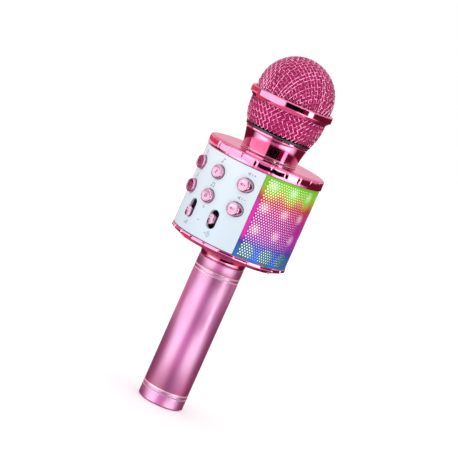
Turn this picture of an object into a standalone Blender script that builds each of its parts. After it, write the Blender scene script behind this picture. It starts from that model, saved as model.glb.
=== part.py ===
"""A karaoke microphone that stands on its foot: handle, speaker drum with buttons and lights, and head.

Metres, +Z up along the microphone.  The origin is the centre of the foot's flat face, the control
panel faces -Y, and angles round the body are measured from -Y towards +X.
"""
import math

import bmesh
import bpy
from mathutils import Matrix, Vector

for old in list(bpy.data.objects):
    bpy.data.objects.remove(old, do_unlink=True)


# ---- driving dimensions -------------------------------------------------------------------------
GAP = 0.0003                      # between two pieces that touch
ROUND = 32                        # sides of the large turned pieces
SMALL_ROUND = 14                  # sides of buttons, screws and other small round pieces

HANDLE_RADIUS = 0.0157
HANDLE_WALL = 0.0015
FOOT_CAP_HEIGHT = 0.0079
FOOT_EDGE = 0.0010
FOOT_PLUG = 0.0081                # how far the foot cap reaches up into the tube
FOOT_FLOOR = 0.0030
HANDLE_TOP = 0.1023
GROOVE_DEPTH = 0.0003
GROOVE_WIDTH = 0.0008
GROOVE_FROM_END = 0.0025          # from the tube's end to the first groove
TOP_GROOVE_DROP = 0.0068          # the upper pair sits this far below the tube's top

CELL_RADIUS = 0.0092
CELL_LENGTH = 0.0650
CELL_EDGE = 0.0010
CELL_NUB = 0.0032
SPRING_ROOM = 0.0070              # from the foot cap's plug to the cell
SPRING_WIRE = 0.0005
SPRING_TURNS = 5
SPRING_TAPER = 0.55               # its narrow end over the cell's radius
HOLDER_HALF_ANGLE = 130.0         # degrees: the holder is open along one side

FLARE_HEIGHT = 0.0079             # from the tube to the underside of the bottom cover
FLARE_RADIUS = 0.0212
FLARE_SPIGOT = 0.0080
WIRE_BORE = 0.0095
NECK_BORE = 0.0125                # hole through the bottom cover
NUT_RADIUS = 0.0175
NUT_HEIGHT = 0.0030

RIM_OVERHANG = 0.0005             # how far the rims stand out past the skin
RIM_BEVEL = 0.0030
COVER_FLOOR = 0.0024
BOTTOM_COVER_HEIGHT = 0.0043
TOP_COVER_HEIGHT = 0.0069
TOP_COVER_WALL = 0.0052           # height of the upright part of the top rim
TOP_PLATE = 0.0020
TOP_SHOULDER = 0.0043             # from the rim's side to the flat top
LIP_THICKNESS = 0.0014
LIP_HEIGHT = 0.0030

SKIN_RADIUS = 0.0397              # outside of the panel and the grille
SKIN_HEIGHT = 0.0563              # between the two covers
PANEL_THICKNESS = 0.0020
GRILLE_THICKNESS = 0.0010
PANEL_HALF_ANGLE = 44.5           # degrees

DIFFUSER_THICKNESS = 0.0015
LIGHT_ROOM = 0.0004               # between the lights and the diffuser
LIGHT_BOARD_THICKNESS = 0.0006
LIGHT_SIZE = 0.0028
LIGHT_HEIGHT = 0.0009
LIGHT_COLUMNS = 4
LIGHT_ROWS = 4
LIGHT_COLUMN_START = 54.8         # degrees
LIGHT_COLUMN_STEP = 22.76
LIGHT_ROW_START = 0.0055          # above the bottom cover's rim
LIGHT_ROW_STEP = 0.0151
SIDE_MARGIN = 2.0                 # degrees between the panel and each lit side
SIDE_END = 131.5                  # degrees: edge of the speaker's window at the back

CHASSIS_CORNER_ROOM = 0.0025      # between its corners and the light boards
CHASSIS_FRONT = -0.0160
CHASSIS_BACK = 0.0195
CHASSIS_RAISE = 0.0065            # above the bottom cover's rim
CHASSIS_DROP = 0.0018             # below the top cover's rim
CHASSIS_WALL = 0.0018
BOSS_RADIUS = 0.0035
SCREW_RADIUS = 0.0012
SCREW_HEAD_RADIUS = 0.0024
SCREW_HEAD_HEIGHT = 0.0012
SCREW_RECESS_RADIUS = 0.0009
SCREW_RECESS_DEPTH = 0.0006
SCREW_DEPTH = 0.0065              # how far a screw reaches into its boss
COVER_SCREW_INSET = 0.0040        # from the chassis's side
COVER_SCREW_Y = 0.0115
NECK_SCREW_CIRCLE = 0.0135

SPEAKER_RADIUS = 0.0225
SPEAKER_FLANGE = 0.0015
SPEAKER_WALL = 0.0008
SPEAKER_BASKET = 0.0198
SPEAKER_DEPTH = 0.0115
MAGNET_RADIUS = 0.0130
MAGNET_DEPTH = 0.0075

BOARD_THICKNESS = 0.0016
BOARD_INSET = 0.0025              # from the chassis's side
BOARD_STANDOFF = 0.0020
PEG_RADIUS = 0.0012
SWITCH_SIZE = 0.0060
SWITCH_DEPTH = 0.0035

BUTTON_RADIUS = 0.0047
BUTTON_TRAVEL = 0.0008
BUTTON_COLUMN_ANGLE = 30.1        # degrees round the panel
BUTTON_RAISE = (0.0441, 0.0275)   # the two rows above the bottom cover's rim
BUTTON_PROUD = 0.0026             # of a middle button over the panel
BUTTON_PROUD_OUTER = 0.0029
BUTTON_SLANT = 12.5               # degrees that an outer button's face turns outwards
BUTTON_EDGE = 0.0005
BUTTON_STEM = 0.0016
FLANGE_WIDTH = 0.0060
FLANGE_LENGTH = 0.0126
FLANGE_THICKNESS = 0.0010

SLOT_ANGLE = 14.4                 # degrees round the panel
SLOT_RAISE = 0.0155               # middle of the slots above the bottom cover's rim
SLOT_WIDTH = 0.0062
SLOT_LENGTH = 0.0130
KNOB_WIDTH = 0.0042
KNOB_LENGTH = 0.0069
KNOB_PROUD = 0.0024
KNOB_PLATE_WIDTH = 0.0090
KNOB_PLATE_LENGTH = 0.0190
LEFT_KNOB_DROP = 0.0026           # the left knob is set this far below its slot's middle
POT_WIDTH = 0.0070
POT_LENGTH = 0.0185
POT_DEPTH = 0.0050
LEVER_WIDTH = 0.0012
LEVER_LENGTH = 0.0030

PORT_SETBACK = 0.0067             # from the chassis's back to the sockets' middle
PORT_BOARD_RAISE = 0.0045         # above the bottom cover's rim
PORT_BOARD_WIDTH = 0.0340
PORT_BOARD_DEPTH = 0.0088
PORT_BOARD_THICKNESS = 0.0012
PORTS = (                         # name, x, opening through the floor, mouth of the socket
    ("audio_jack", -0.0115, (0.0064, 0.0064), None),
    ("usb_socket", 0.0, (0.0098, 0.0040), (0.0085, 0.0026)),
    ("card_socket", 0.0125, (0.0130, 0.0028), (0.0115, 0.0010)))
JACK_BORE = 0.00175

NECK_FOOT_RADIUS = 0.0189
NECK_TOP_RADIUS = 0.0217
NECK_HEIGHT = 0.0143
NECK_FLOOR = 0.0023
NECK_BAND = 0.0008                # upright lip at the collar's top
THREAD_RADIUS = 0.0189
THREAD_LENGTH = 0.0055
THREAD_RING_BORE = 0.0155
THREAD_FLANGE = 0.0010
POST_RADIUS = 0.0100
CAPSULE_RADIUS = 0.0082
CAPSULE_LENGTH = 0.0127
CUP_RADIUS = 0.0140
CUP_WALL = 0.0015
CUP_DEPTH = 0.0085

MESH_RADIUS = 0.0259
MESH_THICKNESS = 0.0010
MESH_FOOT_RADIUS = 0.0228
FOAM_THICKNESS = 0.0030
CUP_HEIGHT = 0.0184               # from the neck collar to the head ring
HEAD_RING_HEIGHT = 0.0067
HEAD_RING_RADIUS = 0.0283
HEAD_RING_RIB = 0.0015
HEAD_RING_RIB_RAISE = 0.0025      # above the band's lower edge
HEAD_RING_EDGE = 0.0009
DOME_RAISE = 0.0096               # the dome's centre above the head ring's lower edge

# ---- places worked out from them ----------------------------------------------------------------
DRUM_BOTTOM = HANDLE_TOP + FLARE_HEIGHT
CELL_START = FOOT_CAP_HEIGHT + FOOT_PLUG + SPRING_ROOM
RIM_RADIUS = SKIN_RADIUS + RIM_OVERHANG
TOP_FLAT_RADIUS = RIM_RADIUS - TOP_SHOULDER
SKIN_BOTTOM = DRUM_BOTTOM + BOTTOM_COVER_HEIGHT
SKIN_TOP = SKIN_BOTTOM + SKIN_HEIGHT
TOP_FACE = SKIN_TOP + TOP_COVER_HEIGHT
FLOOR_TOP = DRUM_BOTTOM + COVER_FLOOR
PLATE_UNDERSIDE = TOP_FACE - TOP_PLATE
TUBE_BORE = HANDLE_RADIUS - HANDLE_WALL
PLUG_RADIUS = TUBE_BORE - GAP
PANEL_BORE = SKIN_RADIUS - PANEL_THICKNESS
LIP_RADIUS = PANEL_BORE - GAP
GRILLE_BORE = SKIN_RADIUS - GRILLE_THICKNESS
DIFFUSER_RADIUS = GRILLE_BORE - GAP
LIGHT_FRONT_RADIUS = DIFFUSER_RADIUS - DIFFUSER_THICKNESS - LIGHT_ROOM
LIGHT_BOARD_RADIUS = LIGHT_FRONT_RADIUS - LIGHT_HEIGHT - LIGHT_BOARD_THICKNESS
SIDE_START = PANEL_HALF_ANGLE + SIDE_MARGIN
CHASSIS_HALF_WIDTH = math.sqrt((LIGHT_BOARD_RADIUS - CHASSIS_CORNER_ROOM) ** 2 - CHASSIS_BACK ** 2)
CHASSIS_BOTTOM = SKIN_BOTTOM + CHASSIS_RAISE
CHASSIS_TOP = SKIN_TOP - CHASSIS_DROP
COVER_SCREW_X = CHASSIS_HALF_WIDTH - COVER_SCREW_INSET
BOARD_HALF_WIDTH = CHASSIS_HALF_WIDTH - BOARD_INSET
BUTTON_COLUMN_X = SKIN_RADIUS * math.sin(math.radians(BUTTON_COLUMN_ANGLE))
BUTTON_FRONT_OUTER = math.sqrt(SKIN_RADIUS ** 2 - BUTTON_COLUMN_X ** 2) + BUTTON_PROUD_OUTER
BUTTON_ROWS = tuple(SKIN_BOTTOM + raise_by for raise_by in BUTTON_RAISE)
SLOT_X = SKIN_RADIUS * math.sin(math.radians(SLOT_ANGLE))
SLOT_HEIGHT = SKIN_BOTTOM + SLOT_RAISE
KNOB_FRONT = math.sqrt(SKIN_RADIUS ** 2 - SLOT_X ** 2) + KNOB_PROUD
KNOB_PLATE_FRONT = math.sqrt(PANEL_BORE ** 2 - (SLOT_X + KNOB_PLATE_WIDTH / 2) ** 2) - 4 * GAP
PORT_Y = CHASSIS_BACK + PORT_SETBACK
PORT_BOARD_BOTTOM = SKIN_BOTTOM + PORT_BOARD_RAISE
GAP_ANGLE = math.degrees(GAP / SKIN_RADIUS)
SCREW_HOLE = SCREW_RADIUS + GAP
BOARD_BACK = CHASSIS_FRONT - BOARD_STANDOFF
BOARD_FRONT = BOARD_BACK - BOARD_THICKNESS
SWITCH_FRONT = BOARD_FRONT - GAP - SWITCH_DEPTH
NECK_BOTTOM = TOP_FACE + GAP
NECK_TOP = NECK_BOTTOM + NECK_HEIGHT
NECK_FLOOR_TOP = NECK_BOTTOM + NECK_FLOOR
CUP_BOTTOM = NECK_TOP + 2 * GAP + THREAD_FLANGE
HEAD_RING_BOTTOM = NECK_TOP + CUP_HEIGHT
DOME_CENTRE = HEAD_RING_BOTTOM + DOME_RAISE


# ---- materials ----------------------------------------------------------------------------------
def material(name, colour, roughness, metallic=0.0):
    """A Principled material in one colour."""
    made = bpy.data.materials.new(name)
    made.use_nodes = True
    shader = made.node_tree.nodes["Principled BSDF"]
    shader.inputs["Base Color"].default_value = (*colour, 1.0)
    shader.inputs["Roughness"].default_value = roughness
    shader.inputs["Metallic"].default_value = metallic
    return made


PINK_ANODISED = material("pink_anodised", (0.62, 0.16, 0.38), 0.32, 1.0)
PINK_PLATED = material("pink_plated", (0.66, 0.12, 0.26), 0.12, 1.0)
PALE_PLATED = material("pale_pink_plated", (0.83, 0.55, 0.74), 0.12, 1.0)
WHITE_PANEL = material("white_panel", (0.72, 0.84, 0.92), 0.4)
GRILLE_METAL = material("grille_metal", (0.60, 0.25, 0.45), 0.4, 0.6)
DIFFUSER = material("diffuser", (0.85, 0.88, 0.90), 0.5)
BLACK_PLASTIC = material("black_plastic", (0.03, 0.03, 0.035), 0.5)
GREEN_BOARD = material("circuit_board", (0.02, 0.16, 0.06), 0.5)
BRIGHT_STEEL = material("bright_steel", (0.62, 0.62, 0.64), 0.25, 1.0)
DARK_IRON = material("dark_iron", (0.10, 0.10, 0.11), 0.5, 0.8)
CELL_SLEEVE = material("cell_sleeve", (0.05, 0.20, 0.45), 0.4)
PAPER_CONE = material("paper_cone", (0.05, 0.05, 0.05), 0.9)
SILVER_MESH = material("silver_mesh", (0.70, 0.45, 0.58), 0.25, 1.0)
MAGENTA_FOAM = material("magenta_foam", (0.50, 0.01, 0.14), 0.95)
RUBBER = material("black_rubber", (0.02, 0.02, 0.02), 0.8)


# ---- shapes -------------------------------------------------------------------------------------
def add_object(name, bm, finish, place=(0.0, 0.0, 0.0)):
    """Turn a bmesh into a smooth-shaded object with its origin at place."""
    bmesh.ops.recalc_face_normals(bm, faces=bm.faces)
    mesh = bpy.data.meshes.new(name)
    bm.to_mesh(mesh)
    bm.free()
    mesh.shade_smooth()
    mesh.set_sharp_from_angle(angle=math.radians(30))
    made = bpy.data.objects.new(name, mesh)
    made.location = place
    bpy.context.scene.collection.objects.link(made)
    if finish:
        mesh.materials.append(finish)
    else:
        made.hide_render = True
        made.display_type = "WIRE"
    return made


def turned_mesh(outline, sides, first=0.0, last=360.0):
    """Spin a loop of (radius, height) points about +Z, from one angle to another."""
    bm = bmesh.new()
    start = math.radians(first - 90.0)
    points = [bm.verts.new((r * math.cos(start), r * math.sin(start), z)) for r, z in outline]
    edges = []
    for index, point in enumerate(points):
        following = points[(index + 1) % len(points)]
        if point.co.xy.length > 0 or following.co.xy.length > 0:
            edges.append(bm.edges.new((point, following)))
    bmesh.ops.spin(bm, geom=points + edges, cent=(0, 0, 0), axis=(0, 0, 1),
                   angle=math.radians(last - first), steps=sides, use_merge=last - first >= 360)
    bmesh.ops.remove_doubles(bm, verts=bm.verts, dist=1e-6)
    bmesh.ops.holes_fill(bm, edges=[edge for edge in bm.edges if edge.is_boundary], sides=0)
    return bm


def turned(name, outline, finish, sides=ROUND, first=0.0, last=360.0):
    """A piece turned about the microphone's axis, whole or as a sector."""
    return add_object(name, turned_mesh(outline, sides, first, last), finish)


def turned_forward(name, outline, finish, place, sides=SMALL_ROUND):
    """A piece turned about an axis along -Y: each (radius, depth) depth runs forward from place."""
    bm = turned_mesh(outline, sides)
    bmesh.ops.rotate(bm, verts=bm.verts, matrix=Matrix.Rotation(math.radians(90), 3, "X"))
    return add_object(name, bm, finish, place)


def block(name, size, centre, finish):
    """A plain box of size (x, y, z) about its centre."""
    bm = bmesh.new()
    bmesh.ops.create_cube(bm, size=1.0)
    bmesh.ops.scale(bm, verts=bm.verts, vec=size)
    return add_object(name, bm, finish, centre)


def rod(name, radius, bottom, top, place, finish, sides=SMALL_ROUND):
    """An upright cylinder from one height to another at place (x, y)."""
    bm = bmesh.new()
    bmesh.ops.create_cone(bm, cap_ends=True, segments=sides, radius1=radius, radius2=radius,
                          depth=top - bottom)
    return add_object(name, bm, finish, (place[0], place[1], (top + bottom) / 2))


def stadium(name, width, length, back, front, x, z, finish):
    """An upright slot shape with round ends, running from depth back to depth front along -Y."""
    bm = bmesh.new()
    arc = 8
    reach = length / 2 - width / 2
    points = []
    for end, turn in ((1, 0.0), (-1, math.pi)):
        for step in range(arc + 1):
            angle = turn + math.pi * step / arc
            points.append((width / 2 * math.cos(angle), end * reach + width / 2 * math.sin(angle)))
    face = bm.faces.new([bm.verts.new((px, 0.0, pz)) for px, pz in points])
    pushed = bmesh.ops.extrude_face_region(bm, geom=[face])
    raised = [item for item in pushed["geom"] if isinstance(item, bmesh.types.BMVert)]
    bmesh.ops.translate(bm, verts=raised, vec=(0.0, back - front, 0.0))
    return add_object(name, bm, finish, (x, -back, z))


def combine(target, other, operation):
    """Cut other from target, or join it on; other becomes a hidden guide."""
    other.hide_render = True
    other.display_type = "WIRE"
    change = target.modifiers.new(other.name, "BOOLEAN")
    change.operation = operation
    change.solver = "EXACT"
    change.object = other


def cut(target, cutter):
    combine(target, cutter, "DIFFERENCE")


def join(target, other):
    combine(target, other, "UNION")


def arc_points(radius, centre, first, last, steps):
    """Points (radius, height) along an arc about (0, centre), angles in degrees above level."""
    points = []
    for step in range(steps + 1):
        angle = math.radians(first + (last - first) * step / steps)
        points.append((abs(radius * math.cos(angle)) if abs(math.cos(angle)) > 1e-9 else 0.0,
                       centre + radius * math.sin(angle)))
    return points


def screw(name, place, underside, length, up):
    """A pan-head screw: its head's seat is at underside and the shank runs up or down from it."""
    way = 1 if up else -1
    recess_floor = SCREW_HEAD_HEIGHT - SCREW_RECESS_DEPTH
    outline = [(0.0, -way * recess_floor), (SCREW_RECESS_RADIUS, -way * SCREW_HEAD_HEIGHT),
               (SCREW_HEAD_RADIUS * 0.8, -way * SCREW_HEAD_HEIGHT),
               (SCREW_HEAD_RADIUS, -way * SCREW_HEAD_HEIGHT * 0.5), (SCREW_HEAD_RADIUS, 0.0),
               (SCREW_RADIUS, 0.0), (SCREW_RADIUS, way * (length - SCREW_RADIUS)),
               (0.0, way * length)]
    bm = turned_mesh(outline, 8)
    return add_object(name, bm, BRIGHT_STEEL, (*place, underside))


# ---- handle -------------------------------------------------------------------------------------
def make_handle():
    """Foot cap, tube with its turned grooves, cell with its spring and contact, and the flare."""
    turned("foot_cap", [
        (0.0, 0.0), (HANDLE_RADIUS - FOOT_EDGE, 0.0), (HANDLE_RADIUS, FOOT_EDGE),
        (HANDLE_RADIUS, FOOT_CAP_HEIGHT), (PLUG_RADIUS, FOOT_CAP_HEIGHT),
        (PLUG_RADIUS, FOOT_CAP_HEIGHT + FOOT_PLUG),
        (PLUG_RADIUS - 2 * HANDLE_WALL, FOOT_CAP_HEIGHT + FOOT_PLUG),
        (PLUG_RADIUS - 2 * HANDLE_WALL, FOOT_FLOOR), (0.0, FOOT_FLOOR)], PINK_ANODISED)

    tube_bottom = FOOT_CAP_HEIGHT + GAP
    grooves = [tube_bottom + GROOVE_FROM_END,
               HANDLE_TOP - TOP_GROOVE_DROP - GROOVE_FROM_END, HANDLE_TOP - TOP_GROOVE_DROP]
    wall = [(HANDLE_RADIUS, tube_bottom)]
    for height in grooves:
        wall += [(HANDLE_RADIUS, height - GROOVE_WIDTH / 2),
                 (HANDLE_RADIUS - GROOVE_DEPTH, height),
                 (HANDLE_RADIUS, height + GROOVE_WIDTH / 2)]
    wall += [(HANDLE_RADIUS, HANDLE_TOP), (TUBE_BORE, HANDLE_TOP), (TUBE_BORE, tube_bottom)]
    turned("handle_tube", wall, PINK_ANODISED)

    cell_top = CELL_START + CELL_LENGTH
    turned("battery_cell", [
        (0.0, CELL_START), (CELL_RADIUS - CELL_EDGE, CELL_START), (CELL_RADIUS, CELL_START + CELL_EDGE),
        (CELL_RADIUS, cell_top - CELL_EDGE), (CELL_RADIUS - CELL_EDGE, cell_top), (CELL_NUB, cell_top),
        (CELL_NUB, cell_top + CELL_EDGE), (0.0, cell_top + CELL_EDGE)], CELL_SLEEVE, 24)

    holder_bore = CELL_RADIUS + GAP
    contact_bottom = cell_top + CELL_EDGE + GAP
    contact_top = contact_bottom + CELL_EDGE
    contact_radius = CELL_RADIUS - CELL_EDGE
    turned("battery_holder", [
        (holder_bore, CELL_START), (PLUG_RADIUS, CELL_START), (PLUG_RADIUS, contact_bottom + HANDLE_WALL),
        (holder_bore, contact_bottom + HANDLE_WALL)],
        BLACK_PLASTIC, 30, -HOLDER_HALF_ANGLE, HOLDER_HALF_ANGLE)
    turned("battery_contact", [
        (0.0, contact_bottom), (contact_radius, contact_bottom), (contact_radius, contact_top),
        (0.0, contact_top)], BRIGHT_STEEL, 20)
    make_spring(FOOT_FLOOR + GAP, CELL_START - GAP)

    curve = []
    steps = 5
    flare_bottom = HANDLE_TOP + GAP
    flare_top = DRUM_BOTTOM - GAP
    for step in range(steps + 1):
        angle = math.pi / 2 * step / steps
        curve.append((HANDLE_RADIUS + (FLARE_RADIUS - HANDLE_RADIUS) * (1 - math.cos(angle)),
                      flare_bottom + (flare_top - flare_bottom) * math.sin(angle)))
    spigot_top = FLOOR_TOP + GAP + NUT_HEIGHT + GAP
    turned("handle_flare", [
        (PLUG_RADIUS, HANDLE_TOP - FLARE_SPIGOT), (PLUG_RADIUS, flare_bottom), *curve,
        (NECK_BORE - GAP, flare_top), (NECK_BORE - GAP, spigot_top), (WIRE_BORE, spigot_top),
        (WIRE_BORE, HANDLE_TOP - FLARE_SPIGOT)], PINK_PLATED)

    nut = rod("flare_nut", NUT_RADIUS, FLOOR_TOP + GAP, FLOOR_TOP + GAP + NUT_HEIGHT, (0, 0),
              BRIGHT_STEEL, 6)
    cut(nut, rod("flare_nut_bore", NECK_BORE, FLOOR_TOP - NUT_HEIGHT, FLOOR_TOP + 3 * NUT_HEIGHT,
                 (0, 0), None, 24))


def make_spring(bottom, top):
    """Conical coil spring between the foot cap and the cell, as a tube swept along its helix."""
    per_turn = 8
    around = 5
    wide = CELL_RADIUS - 2 * SPRING_WIRE
    narrow = CELL_RADIUS * SPRING_TAPER
    count = SPRING_TURNS * per_turn
    low = bottom + SPRING_WIRE
    high = top - SPRING_WIRE
    bm = bmesh.new()
    rings = []
    for step in range(count + 1):
        share = step / count
        angle = 2 * math.pi * SPRING_TURNS * share
        radius = wide + (narrow - wide) * share
        out = Vector((math.cos(angle), math.sin(angle), 0.0))
        middle = out * radius + Vector((0.0, 0.0, low + (high - low) * share))
        ring = []
        for side in range(around):
            turn = 2 * math.pi * side / around
            spot = middle + out * SPRING_WIRE * math.cos(turn)
            ring.append(bm.verts.new(spot + Vector((0.0, 0.0, SPRING_WIRE * math.sin(turn)))))
        rings.append(ring)
    for ring, following in zip(rings, rings[1:]):
        for side in range(around):
            beyond = (side + 1) % around
            bm.faces.new((ring[side], ring[beyond], following[beyond], following[side]))
    bm.faces.new(rings[0])
    bm.faces.new(rings[-1])
    add_object("battery_spring", bm, BRIGHT_STEEL)


# ---- drum casing --------------------------------------------------------------------------------
def cover_screw_places():
    """The four corners (x, y) of the screws under the drum."""
    return [(x * COVER_SCREW_X, y * COVER_SCREW_Y) for x in (-1, 1) for y in (-1, 1)]


def neck_screw_places():
    """The three points (x, y) of the screws inside the neck collar."""
    return [(NECK_SCREW_CIRCLE * math.sin(math.radians(angle)),
             -NECK_SCREW_CIRCLE * math.cos(math.radians(angle))) for angle in (60, 180, 300)]


def make_covers():
    """The two plated dishes that close the drum, with their lips, bores and screw holes."""
    lip_bore = LIP_RADIUS - LIP_THICKNESS
    bottom = turned("bottom_cover", [
        (NECK_BORE, DRUM_BOTTOM), (RIM_RADIUS - RIM_BEVEL, DRUM_BOTTOM),
        (RIM_RADIUS, DRUM_BOTTOM + RIM_BEVEL * 0.75), (RIM_RADIUS, SKIN_BOTTOM),
        (LIP_RADIUS, SKIN_BOTTOM), (LIP_RADIUS, SKIN_BOTTOM + LIP_HEIGHT),
        (lip_bore, SKIN_BOTTOM + LIP_HEIGHT), (lip_bore, FLOOR_TOP), (NECK_BORE, FLOOR_TOP)],
        PINK_PLATED)
    for index, place in enumerate(cover_screw_places()):
        cut(bottom, rod(f"cover_hole_{index}", SCREW_HOLE, DRUM_BOTTOM - COVER_FLOOR,
                        FLOOR_TOP + COVER_FLOOR, place, None, 8))
        cut(bottom, rod(f"cover_recess_{index}", SCREW_HEAD_RADIUS + GAP, DRUM_BOTTOM - COVER_FLOOR,
                        DRUM_BOTTOM + SCREW_HEAD_HEIGHT + GAP, place, None, 12))
    for name, x, opening, _ in PORTS:
        cut(bottom, block(f"{name}_hole", (*opening, 3 * COVER_FLOOR), (x, PORT_Y, DRUM_BOTTOM), None))

    wall_top = SKIN_TOP + TOP_COVER_WALL
    shoulder = (TOP_FACE - wall_top) * 0.45
    top = turned("top_cover", [
        (RIM_RADIUS, SKIN_TOP), (RIM_RADIUS, wall_top), (RIM_RADIUS - shoulder, wall_top + shoulder),
        (TOP_FLAT_RADIUS, TOP_FACE), (WIRE_BORE, TOP_FACE), (WIRE_BORE, PLATE_UNDERSIDE),
        (lip_bore, PLATE_UNDERSIDE), (lip_bore, SKIN_TOP - LIP_HEIGHT),
        (LIP_RADIUS, SKIN_TOP - LIP_HEIGHT), (LIP_RADIUS, SKIN_TOP)], PINK_PLATED)
    for index, place in enumerate(neck_screw_places()):
        cut(top, rod(f"plate_hole_{index}", SCREW_HOLE, PLATE_UNDERSIDE - TOP_PLATE,
                     TOP_FACE + TOP_PLATE, place, None, 8))


def make_skin():
    """The curved control panel with its holes and slots, the grille, and the two diffusers."""
    low = SKIN_BOTTOM + GAP
    high = SKIN_TOP - GAP
    edge = PANEL_HALF_ANGLE - GAP_ANGLE / 2
    panel = turned("control_panel", [
        (PANEL_BORE, low), (SKIN_RADIUS, low), (SKIN_RADIUS, high), (PANEL_BORE, high)],
        WHITE_PANEL, 24, -edge, edge)
    for row, height in enumerate(BUTTON_ROWS):
        for column in (-1, 0, 1):
            hole = turned_forward(f"button_hole_{row}_{column + 1}", [
                (0.0, 0.0), (BUTTON_RADIUS + GAP, 0.0), (BUTTON_RADIUS + GAP, SKIN_RADIUS),
                (0.0, SKIN_RADIUS)], None, (column * BUTTON_COLUMN_X, BOARD_FRONT, height))
            cut(panel, hole)
    for side in (-1, 1):
        cut(panel, stadium(f"slot_{side + 1}", SLOT_WIDTH, SLOT_LENGTH, KNOB_PLATE_FRONT,
                           SKIN_RADIUS * 1.2, side * SLOT_X, SLOT_HEIGHT, None))

    opening = PANEL_HALF_ANGLE + GAP_ANGLE / 2
    turned("speaker_grille", [
        (GRILLE_BORE, low), (SKIN_RADIUS, low), (SKIN_RADIUS, high), (GRILLE_BORE, high)],
        GRILLE_METAL, ROUND, opening, 360 - opening)

    diffuser_inner = DIFFUSER_RADIUS - DIFFUSER_THICKNESS
    diffuser_low = SKIN_BOTTOM + LIP_HEIGHT + GAP
    diffuser_high = SKIN_TOP - LIP_HEIGHT - GAP
    for name, first, last in (("diffuser_right", SIDE_START, SIDE_END),
                              ("diffuser_left", -SIDE_END, -SIDE_START)):
        turned(name, [(diffuser_inner, diffuser_low), (DIFFUSER_RADIUS, diffuser_low),
                      (DIFFUSER_RADIUS, diffuser_high), (diffuser_inner, diffuser_high)],
               DIFFUSER, 20, first, last)


# ---- inside the drum ----------------------------------------------------------------------------
def edge_of(rows):
    """The outer loop of a grid of points."""
    loop = list(rows[0])
    loop += [row[-1] for row in rows[1:]]
    loop += rows[-1][-2::-1]
    loop += [row[0] for row in rows[-2:0:-1]]
    return loop


def make_light_boards():
    """Two flexible boards curved round the chassis, each with rows of square lights on it."""
    half_light = math.degrees(LIGHT_SIZE / 2 / LIGHT_BOARD_RADIUS)
    margin = 2 * half_light / 3
    angles = [SIDE_START + margin]
    for column in range(LIGHT_COLUMNS):
        middle = LIGHT_COLUMN_START + column * LIGHT_COLUMN_STEP
        angles += [middle - half_light, middle + half_light]
    angles.append(SIDE_END - margin)
    heights = [SKIN_BOTTOM + LIP_HEIGHT + GAP]
    for row in range(LIGHT_ROWS):
        middle = SKIN_BOTTOM + LIGHT_ROW_START + row * LIGHT_ROW_STEP
        heights += [middle - LIGHT_SIZE / 2, middle + LIGHT_SIZE / 2]
    heights.append(SKIN_TOP - LIP_HEIGHT - GAP)
    for name, side in (("light_board_right", 1), ("light_board_left", -1)):
        bm = bmesh.new()
        layers = []
        for radius in (LIGHT_BOARD_RADIUS, LIGHT_BOARD_RADIUS + LIGHT_BOARD_THICKNESS):
            rows = []
            for height in heights:
                turns = [side * math.radians(angle) for angle in angles]
                rows.append([bm.verts.new((radius * math.sin(turn), -radius * math.cos(turn), height))
                             for turn in turns])
            layers.append(rows)
        for layer, rows in enumerate(layers):
            for i in range(len(heights) - 1):
                for j in range(len(angles) - 1):
                    corners = (rows[i][j], rows[i][j + 1], rows[i + 1][j + 1], rows[i + 1][j])
                    if layer and i % 2 and j % 2:
                        raise_light(bm, corners)
                    else:
                        bm.faces.new(corners)
        back, front = (edge_of(rows) for rows in layers)
        for index, point in enumerate(back):
            beyond = (index + 1) % len(back)
            bm.faces.new((point, back[beyond], front[beyond], front[index]))
        add_object(name, bm, GREEN_BOARD)


def raise_light(bm, corners):
    """One square light, standing LIGHT_HEIGHT out from the board between four of its points."""
    raised = []
    for corner in corners:
        out = Vector((corner.co.x, corner.co.y, 0.0)).normalized()
        raised.append(bm.verts.new(corner.co + out * LIGHT_HEIGHT))
    for index in range(4):
        beyond = (index + 1) % 4
        bm.faces.new((corners[index], corners[beyond], raised[beyond], raised[index]))
    bm.faces.new(raised)


def board_pegs():
    """The four corners (x, z) where pegs of the chassis hold the main board."""
    inset = CHASSIS_HALF_WIDTH - BOARD_HALF_WIDTH + 2 * PEG_RADIUS
    reach = CHASSIS_HALF_WIDTH - inset
    return [(x * reach, height) for x in (-1, 1)
            for height in (CHASSIS_BOTTOM + inset, CHASSIS_TOP - inset)]


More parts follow.
